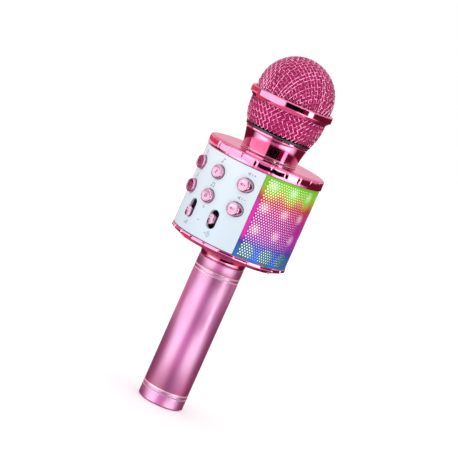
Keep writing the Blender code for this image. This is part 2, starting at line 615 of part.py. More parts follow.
def make_chassis():
    """Box open at the front, with bosses for the cover screws, pegs and the speaker's opening."""
    depth = CHASSIS_BACK - CHASSIS_FRONT
    height = CHASSIS_TOP - CHASSIS_BOTTOM
    middle = Vector((0.0, (CHASSIS_BACK + CHASSIS_FRONT) / 2, (CHASSIS_TOP + CHASSIS_BOTTOM) / 2))
    chassis = block("chassis", (2 * CHASSIS_HALF_WIDTH, depth, height), middle, BLACK_PLASTIC)
    for index, place in enumerate(cover_screw_places()):
        join(chassis, rod(f"cover_boss_{index}", BOSS_RADIUS, FLOOR_TOP + GAP,
                          CHASSIS_BOTTOM + CHASSIS_WALL, place, None, 12))
    for index, place in enumerate(neck_screw_places()):
        join(chassis, rod(f"neck_boss_{index}", BOSS_RADIUS, CHASSIS_TOP - 2 * CHASSIS_WALL,
                          PLATE_UNDERSIDE - GAP, place, None, 12))
    room = (2 * (CHASSIS_HALF_WIDTH - CHASSIS_WALL), depth, height - 2 * CHASSIS_WALL)
    cut(chassis, block("chassis_room", room, middle - Vector((0.0, CHASSIS_WALL, 0.0)), None))
    cut(chassis, turned_forward("speaker_opening", [
        (0.0, 0.0), (SPEAKER_BASKET + GAP, 0.0), (SPEAKER_BASKET + GAP, 3 * CHASSIS_WALL),
        (0.0, 3 * CHASSIS_WALL)], None, (0.0, CHASSIS_BACK + CHASSIS_WALL, middle.z), sides=24))
    for index, place in enumerate(cover_screw_places()):
        cut(chassis, rod(f"cover_bore_{index}", SCREW_HOLE, DRUM_BOTTOM,
                         DRUM_BOTTOM + COVER_FLOOR + SCREW_DEPTH + GAP, place, None, 8))
    for index, place in enumerate(neck_screw_places()):
        cut(chassis, rod(f"neck_bore_{index}", SCREW_HOLE, CHASSIS_TOP - 3 * CHASSIS_WALL,
                         TOP_FACE, place, None, 8))
    root = depth - CHASSIS_WALL / 2
    for index, (x, z) in enumerate(board_pegs()):
        join(chassis, turned_forward(f"peg_post_{index}", [
            (0.0, -root), (1.6 * PEG_RADIUS, -root), (1.6 * PEG_RADIUS, BOARD_STANDOFF - GAP),
            (PEG_RADIUS, BOARD_STANDOFF - GAP), (PEG_RADIUS, BOARD_STANDOFF + 1.6 * BOARD_THICKNESS),
            (0.0, BOARD_STANDOFF + 1.6 * BOARD_THICKNESS)], None, (x, CHASSIS_FRONT, z), sides=10))
    board = block("main_board", (2 * BOARD_HALF_WIDTH, BOARD_THICKNESS, height - 2 * CHASSIS_WALL / 3),
                  (0.0, BOARD_BACK - BOARD_THICKNESS / 2, middle.z), GREEN_BOARD)
    for index, (x, z) in enumerate(board_pegs()):
        cut(board, turned_forward(f"peg_hole_{index}", [
            (0.0, -BOARD_THICKNESS), (PEG_RADIUS + GAP, -BOARD_THICKNESS),
            (PEG_RADIUS + GAP, 2 * BOARD_THICKNESS), (0.0, 2 * BOARD_THICKNESS)], None,
            (x, BOARD_BACK, z), sides=10))


def make_speaker():
    """One round speaker in the back wall: frame with its basket, magnet and paper cone."""
    centre = (CHASSIS_TOP + CHASSIS_BOTTOM) / 2
    back = CHASSIS_BACK + GAP
    wall = SPEAKER_WALL
    rest = SPEAKER_DEPTH - wall

    def facing_back(name, outline, finish):
        bm = turned_mesh(outline, 24)
        bmesh.ops.rotate(bm, verts=bm.verts, matrix=Matrix.Rotation(math.radians(-90), 3, "X"))
        return add_object(name, bm, finish, (0.0, back, centre))

    facing_back("speaker_frame", [
        (SPEAKER_RADIUS, 0.0), (SPEAKER_RADIUS, SPEAKER_FLANGE),
        (SPEAKER_BASKET - wall, SPEAKER_FLANGE), (SPEAKER_BASKET - wall, -rest * 0.4),
        (MAGNET_RADIUS - wall, -rest), (SPEAKER_BASKET / 3, -rest), (SPEAKER_BASKET / 3, -SPEAKER_DEPTH),
        (MAGNET_RADIUS, -SPEAKER_DEPTH), (SPEAKER_BASKET, -rest * 0.4 - wall), (SPEAKER_BASKET, 0.0)],
        DARK_IRON)
    facing_back("speaker_magnet", [
        (0.0, -SPEAKER_DEPTH - GAP), (MAGNET_RADIUS, -SPEAKER_DEPTH - GAP),
        (MAGNET_RADIUS, -SPEAKER_DEPTH - MAGNET_DEPTH), (0.0, -SPEAKER_DEPTH - MAGNET_DEPTH)], DARK_IRON)
    edge = SPEAKER_BASKET - wall - GAP
    facing_back("speaker_cone", [
        (edge, SPEAKER_FLANGE * 0.5), (edge - 2 * wall, SPEAKER_FLANGE), (edge - 4 * wall, 0.0),
        (SPEAKER_BASKET / 3, -rest * 0.6), (0.0, -rest * 0.35),
        (0.0, -rest * 0.35 - wall),
        (SPEAKER_BASKET / 3, -rest * 0.6 - wall), (edge - 4 * wall, -wall),
        (edge, SPEAKER_FLANGE * 0.5 - wall)], PAPER_CONE)


def make_ports():
    """The small board over the floor at the back, and the three sockets that hang from it."""
    block("port_board", (PORT_BOARD_WIDTH, PORT_BOARD_DEPTH, PORT_BOARD_THICKNESS),
          (0.0, PORT_Y, PORT_BOARD_BOTTOM + PORT_BOARD_THICKNESS / 2), GREEN_BOARD)
    low = DRUM_BOTTOM + GAP
    top = PORT_BOARD_BOTTOM - GAP
    for name, x, (wide, deep), mouth in PORTS:
        size = (wide - 2 * GAP, deep - 2 * GAP, top - low)
        socket = block(name, size, (x, PORT_Y, (top + low) / 2), BRIGHT_STEEL)
        if mouth:
            hollow = (*mouth, 2 * (top - low - CHASSIS_WALL))
            cut(socket, block(f"{name}_mouth", hollow, (x, PORT_Y, low), None))
        else:
            cut(socket, rod(f"{name}_mouth", JACK_BORE, low - CHASSIS_WALL, top - CHASSIS_WALL,
                            (x, PORT_Y), None, 12))


def make_screws():
    """Four screws up through the bottom cover, and three down through the neck collar."""
    for index, place in enumerate(cover_screw_places()):
        screw(f"bottom_cover_screw_{index + 1}", place, DRUM_BOTTOM + SCREW_HEAD_HEIGHT,
              COVER_FLOOR - SCREW_HEAD_HEIGHT + SCREW_DEPTH, True)
    length = NECK_FLOOR_TOP + GAP - (CHASSIS_TOP - 2 * CHASSIS_WALL)
    for index, place in enumerate(neck_screw_places()):
        screw(f"top_cover_screw_{index + 1}", place, NECK_FLOOR_TOP + GAP, length, False)


# ---- controls -----------------------------------------------------------------------------------
def make_button(name, x, z, front, slant):
    """One key: a round cap through the panel, the bar that keeps it in, its stem and its switch.

    slant, in degrees, turns the cap's face about the upright through its middle.
    """
    inner = math.sqrt(PANEL_BORE ** 2 - (abs(x) + FLANGE_WIDTH / 2) ** 2) - GAP
    flange_back = inner - FLANGE_THICKNESS
    base = -(SWITCH_FRONT - GAP)
    face = front - base
    cap = turned_forward(name, [
        (0.0, flange_back - base), (BUTTON_RADIUS, flange_back - base),
        (BUTTON_RADIUS, face - BUTTON_EDGE), (BUTTON_RADIUS - BUTTON_EDGE, face), (0.0, face)],
        PALE_PLATED, (x, -base, z))
    for point in cap.data.vertices:
        if point.co.y < -(flange_back - base + BUTTON_EDGE):
            point.co.y += point.co.x * math.tan(math.radians(slant))
    join(cap, block(f"{name}_bar", (FLANGE_WIDTH, FLANGE_THICKNESS, FLANGE_LENGTH),
                    (x, -(inner + flange_back) / 2, z), None))
    join(cap, turned_forward(f"{name}_stem", [
        (0.0, BUTTON_TRAVEL), (BUTTON_STEM, BUTTON_TRAVEL),
        (BUTTON_STEM, flange_back - base + FLANGE_THICKNESS / 2),
        (0.0, flange_back - base + FLANGE_THICKNESS / 2)], None, (x, -base, z), sides=12))
    block(name.replace("button", "switch"), (SWITCH_SIZE, SWITCH_DEPTH, SWITCH_SIZE),
          (x, SWITCH_FRONT + SWITCH_DEPTH / 2, z), BLACK_PLASTIC)


def make_buttons():
    """Three columns of two keys, each over its own switch on the flat main board."""
    columns = (("left", -1, BUTTON_FRONT_OUTER), ("middle", 0, SKIN_RADIUS + BUTTON_PROUD),
               ("right", 1, BUTTON_FRONT_OUTER))
    for column, side, front in columns:
        for row, height in zip(("top", "bottom"), BUTTON_ROWS):
            make_button(f"button_{column}_{row}", side * BUTTON_COLUMN_X, height, front,
                        side * BUTTON_SLANT)


def make_sliders():
    """Two slide potentiometers on the main board, and the knobs that ride on their levers."""
    pot_front = BOARD_FRONT - GAP - POT_DEPTH
    for name, side, drop in (("left", -1, LEFT_KNOB_DROP), ("right", 1, 0.0)):
        x = side * SLOT_X
        z = SLOT_HEIGHT - drop
        pot = block(f"slider_pot_{name}", (POT_WIDTH, POT_DEPTH, POT_LENGTH),
                    (x, pot_front + POT_DEPTH / 2, SLOT_HEIGHT), DARK_IRON)
        travel = SLOT_LENGTH - KNOB_LENGTH
        channel = (LEVER_WIDTH + 2 * GAP, POT_DEPTH, LEVER_LENGTH + travel + 2 * GAP)
        cut(pot, block(f"pot_channel_{name}", channel, (x, pot_front, SLOT_HEIGHT), None))
        knob = stadium(f"slider_knob_{name}", KNOB_WIDTH, KNOB_LENGTH, KNOB_PLATE_FRONT - GAP,
                       KNOB_FRONT, x, z, PALE_PLATED)
        plate_back = KNOB_PLATE_FRONT - FLANGE_THICKNESS
        join(knob, block(f"knob_plate_{name}", (KNOB_PLATE_WIDTH, FLANGE_THICKNESS, KNOB_PLATE_LENGTH),
                         (x, -(KNOB_PLATE_FRONT + plate_back) / 2, z), None))
        lever_end = -pot_front - POT_DEPTH / 4
        join(knob, block(f"knob_lever_{name}", (LEVER_WIDTH, plate_back + GAP - lever_end, LEVER_LENGTH),
                         (x, -(plate_back + GAP + lever_end) / 2, z), None))


# ---- neck and head ------------------------------------------------------------------------------
def make_neck():
    """Trumpet-shaped collar with the thread's bore, and the post, rubber cup and capsule in it."""
    thread_bore = THREAD_RADIUS + GAP
    seat = NECK_TOP - THREAD_LENGTH - 2 * GAP
    room = NECK_FOOT_RADIUS - NECK_FLOOR
    turned("neck_collar", [
        (NECK_FOOT_RADIUS, NECK_BOTTOM), (NECK_FOOT_RADIUS, NECK_BOTTOM + NECK_BAND),
        (NECK_FOOT_RADIUS + NECK_BAND, NECK_BOTTOM + 4 * NECK_BAND),
        (NECK_TOP_RADIUS, NECK_TOP - NECK_BAND), (NECK_TOP_RADIUS, NECK_TOP), (thread_bore, NECK_TOP),
        (thread_bore, seat), (room, seat), (room, NECK_FLOOR_TOP), (WIRE_BORE - NECK_BAND, NECK_FLOOR_TOP),
        (WIRE_BORE - NECK_BAND, NECK_BOTTOM)], PINK_PLATED)
    for index, place in enumerate(neck_screw_places()):
        cut(bpy.data.objects["neck_collar"], rod(
            f"neck_hole_{index}", SCREW_HOLE, NECK_BOTTOM - NECK_FLOOR, NECK_FLOOR_TOP + NECK_FLOOR,
            place, None, 8))

    post_bottom = NECK_FLOOR_TOP + GAP
    cup_floor = CUP_BOTTOM + 2 * NECK_FLOOR
    cup_top = cup_floor + CUP_DEPTH
    turned("capsule_post", [
        (POST_RADIUS, post_bottom), (POST_RADIUS, cup_floor - 2 * NECK_FLOOR),
        (CUP_RADIUS, cup_floor - CUP_WALL), (CUP_RADIUS, cup_top), (CUP_RADIUS - CUP_WALL, cup_top),
        (CUP_RADIUS - CUP_WALL, cup_floor), (POST_RADIUS - 2 * CUP_WALL, cup_floor),
        (POST_RADIUS - 2 * CUP_WALL, cup_floor - 2 * NECK_FLOOR), (POST_RADIUS - CUP_WALL, post_bottom)],
        BLACK_PLASTIC, 24)
    mount_bottom = cup_floor + GAP
    turned("capsule_mount", [
        (CAPSULE_RADIUS + GAP, mount_bottom), (CUP_RADIUS - CUP_WALL - GAP, mount_bottom),
        (CUP_RADIUS - CUP_WALL - GAP, cup_top), (CAPSULE_RADIUS + GAP, cup_top)], RUBBER, 24)
    turned("capsule", [
        (0.0, mount_bottom), (CAPSULE_RADIUS, mount_bottom),
        (CAPSULE_RADIUS, mount_bottom + CAPSULE_LENGTH - GAP),
        (CAPSULE_RADIUS - NECK_BAND, mount_bottom + CAPSULE_LENGTH), (0.0, mount_bottom + CAPSULE_LENGTH)],
        DARK_IRON, 24)


def cup_wall_points(inset):
    """The lower mesh's side, from its foot up to the head ring, moved inwards by inset."""
    rise = HEAD_RING_BOTTOM + HEAD_RING_HEIGHT * 0.35 - CUP_BOTTOM
    bulge = 3
    points = []
    for step in range(bulge + 1):
        angle = math.pi / 2 * step / bulge
        points.append((MESH_FOOT_RADIUS + (MESH_RADIUS - MESH_FOOT_RADIUS) * math.sin(angle) - inset,
                       CUP_BOTTOM + rise * 0.75 * (1 - math.cos(angle))))
    return points


def make_head():
    """Threaded foot, mesh cup, band and mesh dome, which turn together, and the foam inside them."""
    ring_bottom = NECK_TOP - THREAD_LENGTH
    flange_bottom = NECK_TOP + GAP
    turned("head_thread_ring", [
        (THREAD_RADIUS, ring_bottom), (THREAD_RADIUS, flange_bottom),
        (MESH_FOOT_RADIUS - GAP, flange_bottom), (MESH_FOOT_RADIUS - GAP, flange_bottom + THREAD_FLANGE),
        (THREAD_RING_BORE, flange_bottom + THREAD_FLANGE), (THREAD_RING_BORE, ring_bottom)], BRIGHT_STEEL)

    rib_bottom = HEAD_RING_BOTTOM + HEAD_RING_RIB_RAISE
    rib_top = rib_bottom + HEAD_RING_RIB
    ring_top = HEAD_RING_BOTTOM + HEAD_RING_HEIGHT
    ring_bore = MESH_RADIUS + GAP
    rib_bore = MESH_RADIUS - 2 * MESH_THICKNESS
    cup_top = rib_bottom - GAP
    outer = cup_wall_points(0.0)
    inner = cup_wall_points(MESH_THICKNESS)
    turned("lower_mesh", [
        *outer, (MESH_RADIUS, cup_top), (MESH_RADIUS - MESH_THICKNESS, cup_top), *reversed(inner)],
        SILVER_MESH)
    edge = HEAD_RING_EDGE
    turned("head_ring", [
        (ring_bore, HEAD_RING_BOTTOM), (HEAD_RING_RADIUS - 2 * edge, HEAD_RING_BOTTOM),
        (HEAD_RING_RADIUS, rib_bottom), (HEAD_RING_RADIUS, ring_top - edge),
        (HEAD_RING_RADIUS - edge, ring_top), (ring_bore, ring_top), (ring_bore, rib_top),
        (rib_bore, rib_top), (rib_bore, rib_bottom), (ring_bore, rib_bottom)], PINK_PLATED)

    skirt = rib_top + GAP
    steps = 6
    turned("dome_mesh", [
        (MESH_RADIUS, skirt), *arc_points(MESH_RADIUS, DOME_CENTRE, 0, 90, steps),
        *arc_points(MESH_RADIUS - MESH_THICKNESS, DOME_CENTRE, 90, 0, steps),
        (MESH_RADIUS - MESH_THICKNESS, skirt)], SILVER_MESH)

    foam = MESH_RADIUS - MESH_THICKNESS - 2 * GAP
    foam_bore = foam - FOAM_THICKNESS
    waist = rib_bore - GAP
    clear = 2 * GAP
    foam_outer = cup_wall_points(MESH_THICKNESS + clear)
    foam_inner = cup_wall_points(MESH_THICKNESS + clear + FOAM_THICKNESS)
    lift = Vector((0.0, clear))
    turned("foam_liner", [
        *[tuple(Vector(point) + lift) for point in foam_outer], (foam, rib_bottom - clear),
        (waist, rib_bottom - GAP), (waist, rib_top + GAP), (foam, rib_top + clear),
        *arc_points(foam, DOME_CENTRE, 0, 90, 5), *arc_points(foam_bore, DOME_CENTRE, 90, 0, 5),
        *[tuple(Vector(point) + lift) for point in reversed(foam_inner)]], MAGENTA_FOAM, 20)


# ---- build --------------------------------------------------------------------------------------
make_handle()
make_covers()
make_skin()
make_light_boards()
make_chassis()
make_speaker()
make_ports()
make_screws()
make_buttons()
make_sliders()
make_neck()
make_head()
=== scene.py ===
# A karaoke microphone in the order in which it is put together: handle, drum, controls, neck and head.
# Metres, +Z from foot to head; angles round the body run from -Y, the middle of the panel, towards +X.
import math

import bmesh
import bpy
from mathutils import Matrix, Vector


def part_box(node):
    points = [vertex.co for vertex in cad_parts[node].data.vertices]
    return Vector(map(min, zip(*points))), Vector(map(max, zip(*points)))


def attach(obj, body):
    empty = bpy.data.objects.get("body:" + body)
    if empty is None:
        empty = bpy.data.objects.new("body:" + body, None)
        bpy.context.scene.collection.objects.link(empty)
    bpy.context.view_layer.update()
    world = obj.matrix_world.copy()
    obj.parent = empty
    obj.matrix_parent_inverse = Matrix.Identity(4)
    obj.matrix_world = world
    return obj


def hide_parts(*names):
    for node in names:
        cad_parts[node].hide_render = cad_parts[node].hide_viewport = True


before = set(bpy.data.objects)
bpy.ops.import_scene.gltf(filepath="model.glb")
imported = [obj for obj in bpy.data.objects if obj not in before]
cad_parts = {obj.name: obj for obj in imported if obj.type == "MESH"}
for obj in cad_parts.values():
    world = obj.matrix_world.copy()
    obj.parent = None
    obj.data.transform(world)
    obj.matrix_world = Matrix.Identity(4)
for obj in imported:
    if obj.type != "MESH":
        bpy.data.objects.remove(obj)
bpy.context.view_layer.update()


# ---- foot cap and handle tube ---------------------------------------------------------------------
# Turned aluminium, brushed round the axis and anodised pink.  The cap is pressed into the tube's
# lower end, and the fine bright lines are cut through the colour after anodising.
class Value:
    """A number that varies over a surface; sums written with it add the Math nodes they need."""

    def __init__(self, nodes, socket):
        self.nodes = nodes
        self.socket = socket

    def maths(self, operation, *others):
        inputs = {place: other for place, other in enumerate((self, *others))}
        return self.nodes.node("ShaderNodeMath", {"operation": operation}, inputs)

    def __add__(self, other):
        return self.maths("ADD", other)

    def __radd__(self, other):
        return self.maths("ADD", other)

    def __sub__(self, other):
        return self.maths("SUBTRACT", other)

    def __rsub__(self, other):
        return self.maths("MULTIPLY", -1.0) + other

    def __mul__(self, other):
        return self.maths("MULTIPLY", other)

    def __rmul__(self, other):
        return self.maths("MULTIPLY", other)

    def __truediv__(self, other):
        return self.maths("DIVIDE", other)


class Nodes:
    """A node tree; node() adds a node with its settings and inputs, and gives one of its outputs."""

    def __init__(self, tree):
        self.tree = tree

    def node(self, kind, settings=None, inputs=None, output=0):
        made = self.tree.nodes.new(kind)
        for key, setting in (settings or {}).items():
            if key == "stops":
                ramp = made.color_ramp
                while len(ramp.elements) < len(setting):
                    ramp.elements.new(0.5)
                for element, (place, colour) in zip(ramp.elements, setting):
                    element.position = place
                    element.color = (*colour, 1.0)
            elif key == "ramp":
                made.color_ramp.interpolation = setting
            else:
                setattr(made, key, setting)
        for key, given in (inputs or {}).items():
            if isinstance(given, Value):
                self.tree.links.new(given.socket, made.inputs[key])
            elif given is not None:
                made.inputs[key].default_value = given
        return Value(self, made.outputs[output])


class Finish(Nodes):
    """A material under way: its own coordinates, its noise, and what its surface is given."""

    def __init__(self, name):
        self.material = bpy.data.materials.new(name)
        self.material.use_nodes = True
        super().__init__(self.material.node_tree)
        self.surface = self.tree.nodes["Principled BSDF"]

    def place(self):
        return self.node("ShaderNodeTexCoord", output="Object")

    def axes(self):
        split = self.node("ShaderNodeSeparateXYZ", inputs={0: self.place()}).socket.node
        return [Value(self, split.outputs[index]) for index in range(3)]

    def noise(self, scale, stretch=(1.0, 1.0, 1.0), detail=3.0):
        """Soft noise from 0 to 1; scale is in bumps per metre, and stretch packs it along an axis."""
        spot = self.node("ShaderNodeMapping", inputs={"Vector": self.place(), "Scale": stretch})
        return self.node("ShaderNodeTexNoise", inputs={"Vector": spot, "Scale": scale, "Detail": detail})

    def blend(self, share, low, high):
        low, high = (((*tint, 1.0) if isinstance(tint, tuple) else tint) for tint in (low, high))
        return self.node("ShaderNodeMix", {"data_type": "RGBA"}, {0: share, 6: low, 7: high}, 2)

    def set(self, **inputs):
        """Give the surface its inputs: base_color becomes Base Color, and so on."""
        for key, given in inputs.items():
            socket = self.surface.inputs[key.replace("_", " ").title().replace("Ior", "IOR")]
            if isinstance(given, Value):
                self.tree.links.new(given.socket, socket)
            else:
                socket.default_value = given

    def bump(self, height, depth, strength=1.0):
        self.set(normal=self.node("ShaderNodeBump", inputs={
            "Height": height, "Distance": depth, "Strength": strength}))


def anodised_pink():
    finish = Finish("anodised_pink")
    lines = finish.noise(700.0, (1.0, 1.0, 14.0), 4.0)
    clouds = finish.noise(60.0)
    colour = finish.blend(clouds, (0.52, 0.13, 0.37), (0.57, 0.16, 0.42))
    finish.set(base_color=colour, metallic=clouds * 0.05 + 0.72, roughness=lines * 0.08 + 0.37,
               coat_weight=1.0, coat_roughness=0.28, coat_ior=2.4)
    finish.bump(lines, 0.00002, 0.4)
    return finish.material


def cut_bright():
    finish = Finish("cut_bright")
    lines = finish.noise(900.0, (1.0, 1.0, 10.0))
    finish.set(base_color=finish.blend(lines, (0.95, 0.80, 0.88), (0.99, 0.90, 0.95)),
               metallic=0.8, roughness=lines * 0.08 + 0.36)
    return finish.material


def rounded(outline, radius, steps=3):
    """The outline with its corners rounded, where both sides of a corner leave room for it."""
    points = [Vector(point) for point in outline]
    smooth = []
    for index, corner in enumerate(points):
        before = points[index - 1] - corner
        after = points[(index + 1) % len(points)] - corner
        turn = math.pi - before.angle(after, math.pi)
        reach = radius * math.tan(turn / 2) if turn < 3.0 else radius
        if corner.x < 1e-6 or turn < 0.25 or min(before.length, after.length) < 2.2 * reach:
            smooth.append(tuple(corner))
            continue
        start = corner + before.normalized() * reach
        end = corner + after.normalized() * reach
        for step in range(steps + 1):
            share = step / steps
            spot = start * (1 - share) ** 2 + corner * 2 * share * (1 - share) + end * share ** 2
            smooth.append(tuple(spot))
    return smooth


def solid(name, bm, *materials):
    """A smooth-shaded object at the origin, with edges over 35 degrees left sharp."""
    bmesh.ops.remove_doubles(bm, verts=bm.verts, dist=1e-7)
    bmesh.ops.recalc_face_normals(bm, faces=bm.faces)
    mesh = bpy.data.meshes.new(name)
    bm.to_mesh(mesh)
    bm.free()
    mesh.shade_smooth()
    mesh.set_sharp_from_angle(angle=math.radians(35))
    for material in materials:
        mesh.materials.append(material)
    made = bpy.data.objects.new(name, mesh)
    bpy.context.scene.collection.objects.link(made)
    return made


def lathe(outline, sides=144, first=0.0, last=360.0, shape=None, second=None):
    """Turn a closed outline of (radius, height) about +Z, the whole way or from angle to angle.

    shape(radius, height, angle) may change a radius, and second(radius, height) picks the faces
    that take the piece's second material.
    """
    whole = last - first >= 360.0
    bm = bmesh.new()
    rings = []
    for step in range(sides if whole else sides + 1):
        angle = math.radians(first + (last - first) * step / sides)
        ring = []
        for radius, height in outline:
            out = shape(radius, height, angle) if shape else radius
            ring.append(bm.verts.new((out * math.sin(angle), -out * math.cos(angle), height)))
        rings.append(ring)
    count = len(outline)
    for step in range(sides):
        ring, following = rings[step], rings[(step + 1) % len(rings)]
        for index in range(count):
            beyond = (index + 1) % count
            if outline[index][0] < 1e-9 and outline[beyond][0] < 1e-9:
                continue
            face = bm.faces.new((ring[index], following[index], following[beyond], ring[beyond]))
            middle = [(outline[index][axis] + outline[beyond][axis]) / 2 for axis in (0, 1)]
            face.material_index = int(bool(second and second(*middle)))
    if not whole:
        bm.faces.new(rings[0])
        bm.faces.new(rings[-1])
    bmesh.ops.remove_doubles(bm, verts=bm.verts, dist=1e-7)
    return bm


def fit(piece, body, slot, *nodes):
    """The piece rides on its body and stands for its CAD nodes, which it hides; its slot is not used."""
    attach(piece, body)
    if nodes:
        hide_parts(*nodes)
    return piece


PINK_ALUMINIUM = anodised_pink()
BRIGHT_CUT = cut_bright()
tube_low, tube_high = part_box("handle_tube")
handle_radius = tube_high.x
handle_wall = 0.0015
line_depth = 0.00028
line_half_width = 0.00042
foot_low, foot_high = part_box("foot_cap")
foot_edge = 0.0009
cap_top = tube_low.z - 0.0003
line_heights = [tube_low.z + 0.0025, tube_high.z - 0.0093, tube_high.z - 0.0068]

cap_outline = rounded([
    (0.0, foot_low.z), (handle_radius - foot_edge, foot_low.z), (handle_radius, foot_low.z + foot_edge),
    (handle_radius, cap_top - line_depth), (handle_radius - line_depth, cap_top),
    (handle_radius - 2 * handle_wall, cap_top), (handle_radius - 2 * handle_wall, foot_high.z),
    (handle_radius - 3 * handle_wall, foot_high.z), (handle_radius - 3 * handle_wall, cap_top / 2),
    (0.0, cap_top / 2)], 0.0003)
foot_cap = solid("foot_cap_turned", lathe(
    cap_outline, second=lambda radius, height: cap_top - line_depth < height < cap_top),
    PINK_ALUMINIUM, BRIGHT_CUT)
fit(foot_cap, "housing", "pink_anodised", "foot_cap")

wall = [(handle_radius - line_depth, tube_low.z), (handle_radius, tube_low.z + line_depth)]
for height in line_heights:
    wall += [(handle_radius, height - line_half_width), (handle_radius - line_depth, height),
             (handle_radius, height + line_half_width)]
wall += [(handle_radius, tube_high.z - line_depth), (handle_radius - line_depth, tube_high.z),
         (handle_radius - handle_wall, tube_high.z), (handle_radius - handle_wall, tube_low.z)]
handle_tube = solid("handle_tube_turned", lathe(wall, second=lambda radius, height: (
    handle_radius - line_depth < radius < handle_radius - 1e-6)), PINK_ALUMINIUM, BRIGHT_CUT)
fit(handle_tube, "housing", "pink_anodised", "handle_tube")


# ---- cell and its contacts ------------------------------------------------------------------------
# A standard rechargeable cell in a shrink sleeve slides up the tube into a moulded holder.  A conical
# coil spring on the foot cap presses it against a flat contact of nickelled steel.
def moulded(name, colour, roughness, grain):
    """Plastic or rubber with a fine moulded grain; grain is in bumps per metre."""
    finish = Finish(name)
    dots = finish.noise(grain)
    light = tuple(min(1.0, part * 1.25 + 0.004) for part in colour)
    finish.set(base_color=finish.blend(dots, colour, light), roughness=dots * 0.15 + roughness - 0.07)
    finish.bump(dots, 0.00004, 0.4)
    return finish.material


def bare_metal(name, dark, light, roughness, stretch=(1.0, 1.0, 1.0)):
    """Bare or plated metal with faint drawn lines."""
    finish = Finish(name)
    lines = finish.noise(900.0, stretch, 4.0)
    finish.set(base_color=finish.blend(lines, dark, light), metallic=1.0,
               roughness=lines * 0.14 + roughness - 0.07)
    finish.bump(lines, 0.00002, 0.3)
    return finish.material


def repaint(material, *nodes):
    """Give CAD nodes that keep their shape their own finish."""
    for name in nodes:
        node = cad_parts[name]
        if node.material_slots:
            node.material_slots[0].material = material
        else:
            node.data.materials.append(material)


BLACK_PLASTIC = moulded("black_moulded", (0.022, 0.022, 0.026), 0.5, 1800.0)
BRIGHT_STEEL = bare_metal("nickelled_steel", (0.52, 0.52, 0.54), (0.70, 0.70, 0.71), 0.26)
CELL_SLEEVE = moulded("cell_sleeve", (0.03, 0.17, 0.42), 0.34, 500.0)
repaint(CELL_SLEEVE, "battery_cell")
repaint(BLACK_PLASTIC, "battery_holder")
repaint(BRIGHT_STEEL, "battery_spring", "battery_contact")


# ---- flared collar under the drum -----------------------------------------------------------------
# Moulded plastic plated to a mirror and lacquered pink.  A spigot centres it in the handle, and a
# hexagonal nut inside the drum clamps it to the bottom cover.
def plated(name, deep, pale):
    """Mirror plating under a tinted lacquer, with the faint swell of the moulding beneath it."""
    finish = Finish(name)
    swell = finish.noise(160.0, detail=1.0)
    smear = finish.noise(45.0, (1.0, 1.0, 2.0), 4.0)
    finish.set(base_color=finish.blend(smear, deep, pale), metallic=1.0,
               roughness=smear * 0.07 + 0.04, coat_weight=0.5, coat_roughness=0.03)
    finish.bump(swell, 0.00003, 0.2)
    return finish.material


PINK_PLATE = plated("pink_plate", (0.74, 0.23, 0.38), (0.80, 0.29, 0.45))
flare_low, flare_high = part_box("handle_flare")
flare_radius = flare_high.x
flare_foot = tube_high.z + 0.0003
flare_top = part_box("bottom_cover")[0].z - 0.0003
spigot_radius = handle_radius - handle_wall - 0.0003
curve_steps = 20
flare_curve = []
for step in range(curve_steps + 1):
    angle = math.pi / 2 * step / curve_steps
    flare_curve.append((handle_radius + (flare_radius - handle_radius) * (1 - math.cos(angle)),
                        flare_foot + (flare_top - flare_foot) * math.sin(angle)))
flare = solid("handle_flare_turned", lathe([
    (spigot_radius, flare_low.z), (spigot_radius, flare_foot), (handle_radius - 0.0004, flare_foot),
    *flare_curve[1:], (0.0122, flare_top), (0.0122, flare_high.z), (0.0095, flare_high.z),
    (0.0095, flare_low.z)]), PINK_PLATE)
fit(flare, "housing", "pink_plated", "handle_flare")
repaint(BRIGHT_STEEL, "flare_nut")


# ---- bottom cover, its screws and sockets ---------------------------------------------------------
# A plated dish whose rim is cut into 24 flats by short notches.  Four cross-recessed screws hold it
# to the chassis, and three openings at the back let a plug or a card reach the sockets behind them.
flats = 24
notch_start = math.radians(46.5)
notch_half_width = 0.0005
notch_depth = 0.0007


def notched(rim_radius, low, high):
    """A lathe shape that cuts the rim between two heights into flats with a notch at each corner."""
    sector = 2 * math.pi / flats

    def shape(radius, height, angle):
        if radius < rim_radius - 0.0012 or not low - 1e-6 <= height <= high + 1e-6:
            return radius
        off = (angle - notch_start + sector / 2) % sector - sector / 2
        flat = radius * math.cos(sector / 2) / math.cos(sector / 2 - abs(off))
        cut = max(0.0, 1.0 - abs(off) * rim_radius / notch_half_width)
        return min(flat + 0.0001, radius) - notch_depth * min(1.0, 2 * cut)

    return shape


def subtract(piece, *cutters):
    """Cut closed shapes out of a piece, for good, and remove them."""
    for cutter in cutters:
        change = piece.modifiers.new("cut", "BOOLEAN")
        change.operation = "DIFFERENCE"
        change.solver = "EXACT"
        change.object = cutter
    return settle(piece, *cutters)


def settle(piece, *helpers):
    """Apply the piece's modifiers, and remove the objects that helped."""
    evaluated = piece.evaluated_get(bpy.context.evaluated_depsgraph_get())
    mesh = bpy.data.meshes.new_from_object(evaluated)
    piece.modifiers.clear()
    piece.data = mesh
    mesh.name = piece.name
    for helper in helpers:
        bpy.data.objects.remove(helper)
    mesh.shade_smooth()
    mesh.set_sharp_from_angle(angle=math.radians(35))
    return piece


def add_block(bm, size, centre):
    """Add a box of this size about this centre to a mesh under way."""
    for vert in bmesh.ops.create_cube(bm, size=1.0)["verts"]:
        vert.co = Vector([middle + share * extent for middle, share, extent in zip(centre, vert.co, size)])


def box_cutter(size, centre):
    bm = bmesh.new()
    add_block(bm, size, centre)
    return solid("cutter", bm)


def rod_cutter(radius, low, high, x, y, sides=32):
    outline = [(0.0, low), (radius, low), (radius, high), (0.0, high)]
    bm = lathe(outline, sides)
    bmesh.ops.translate(bm, verts=bm.verts, vec=(x, y, 0.0))
    return solid("cutter", bm)


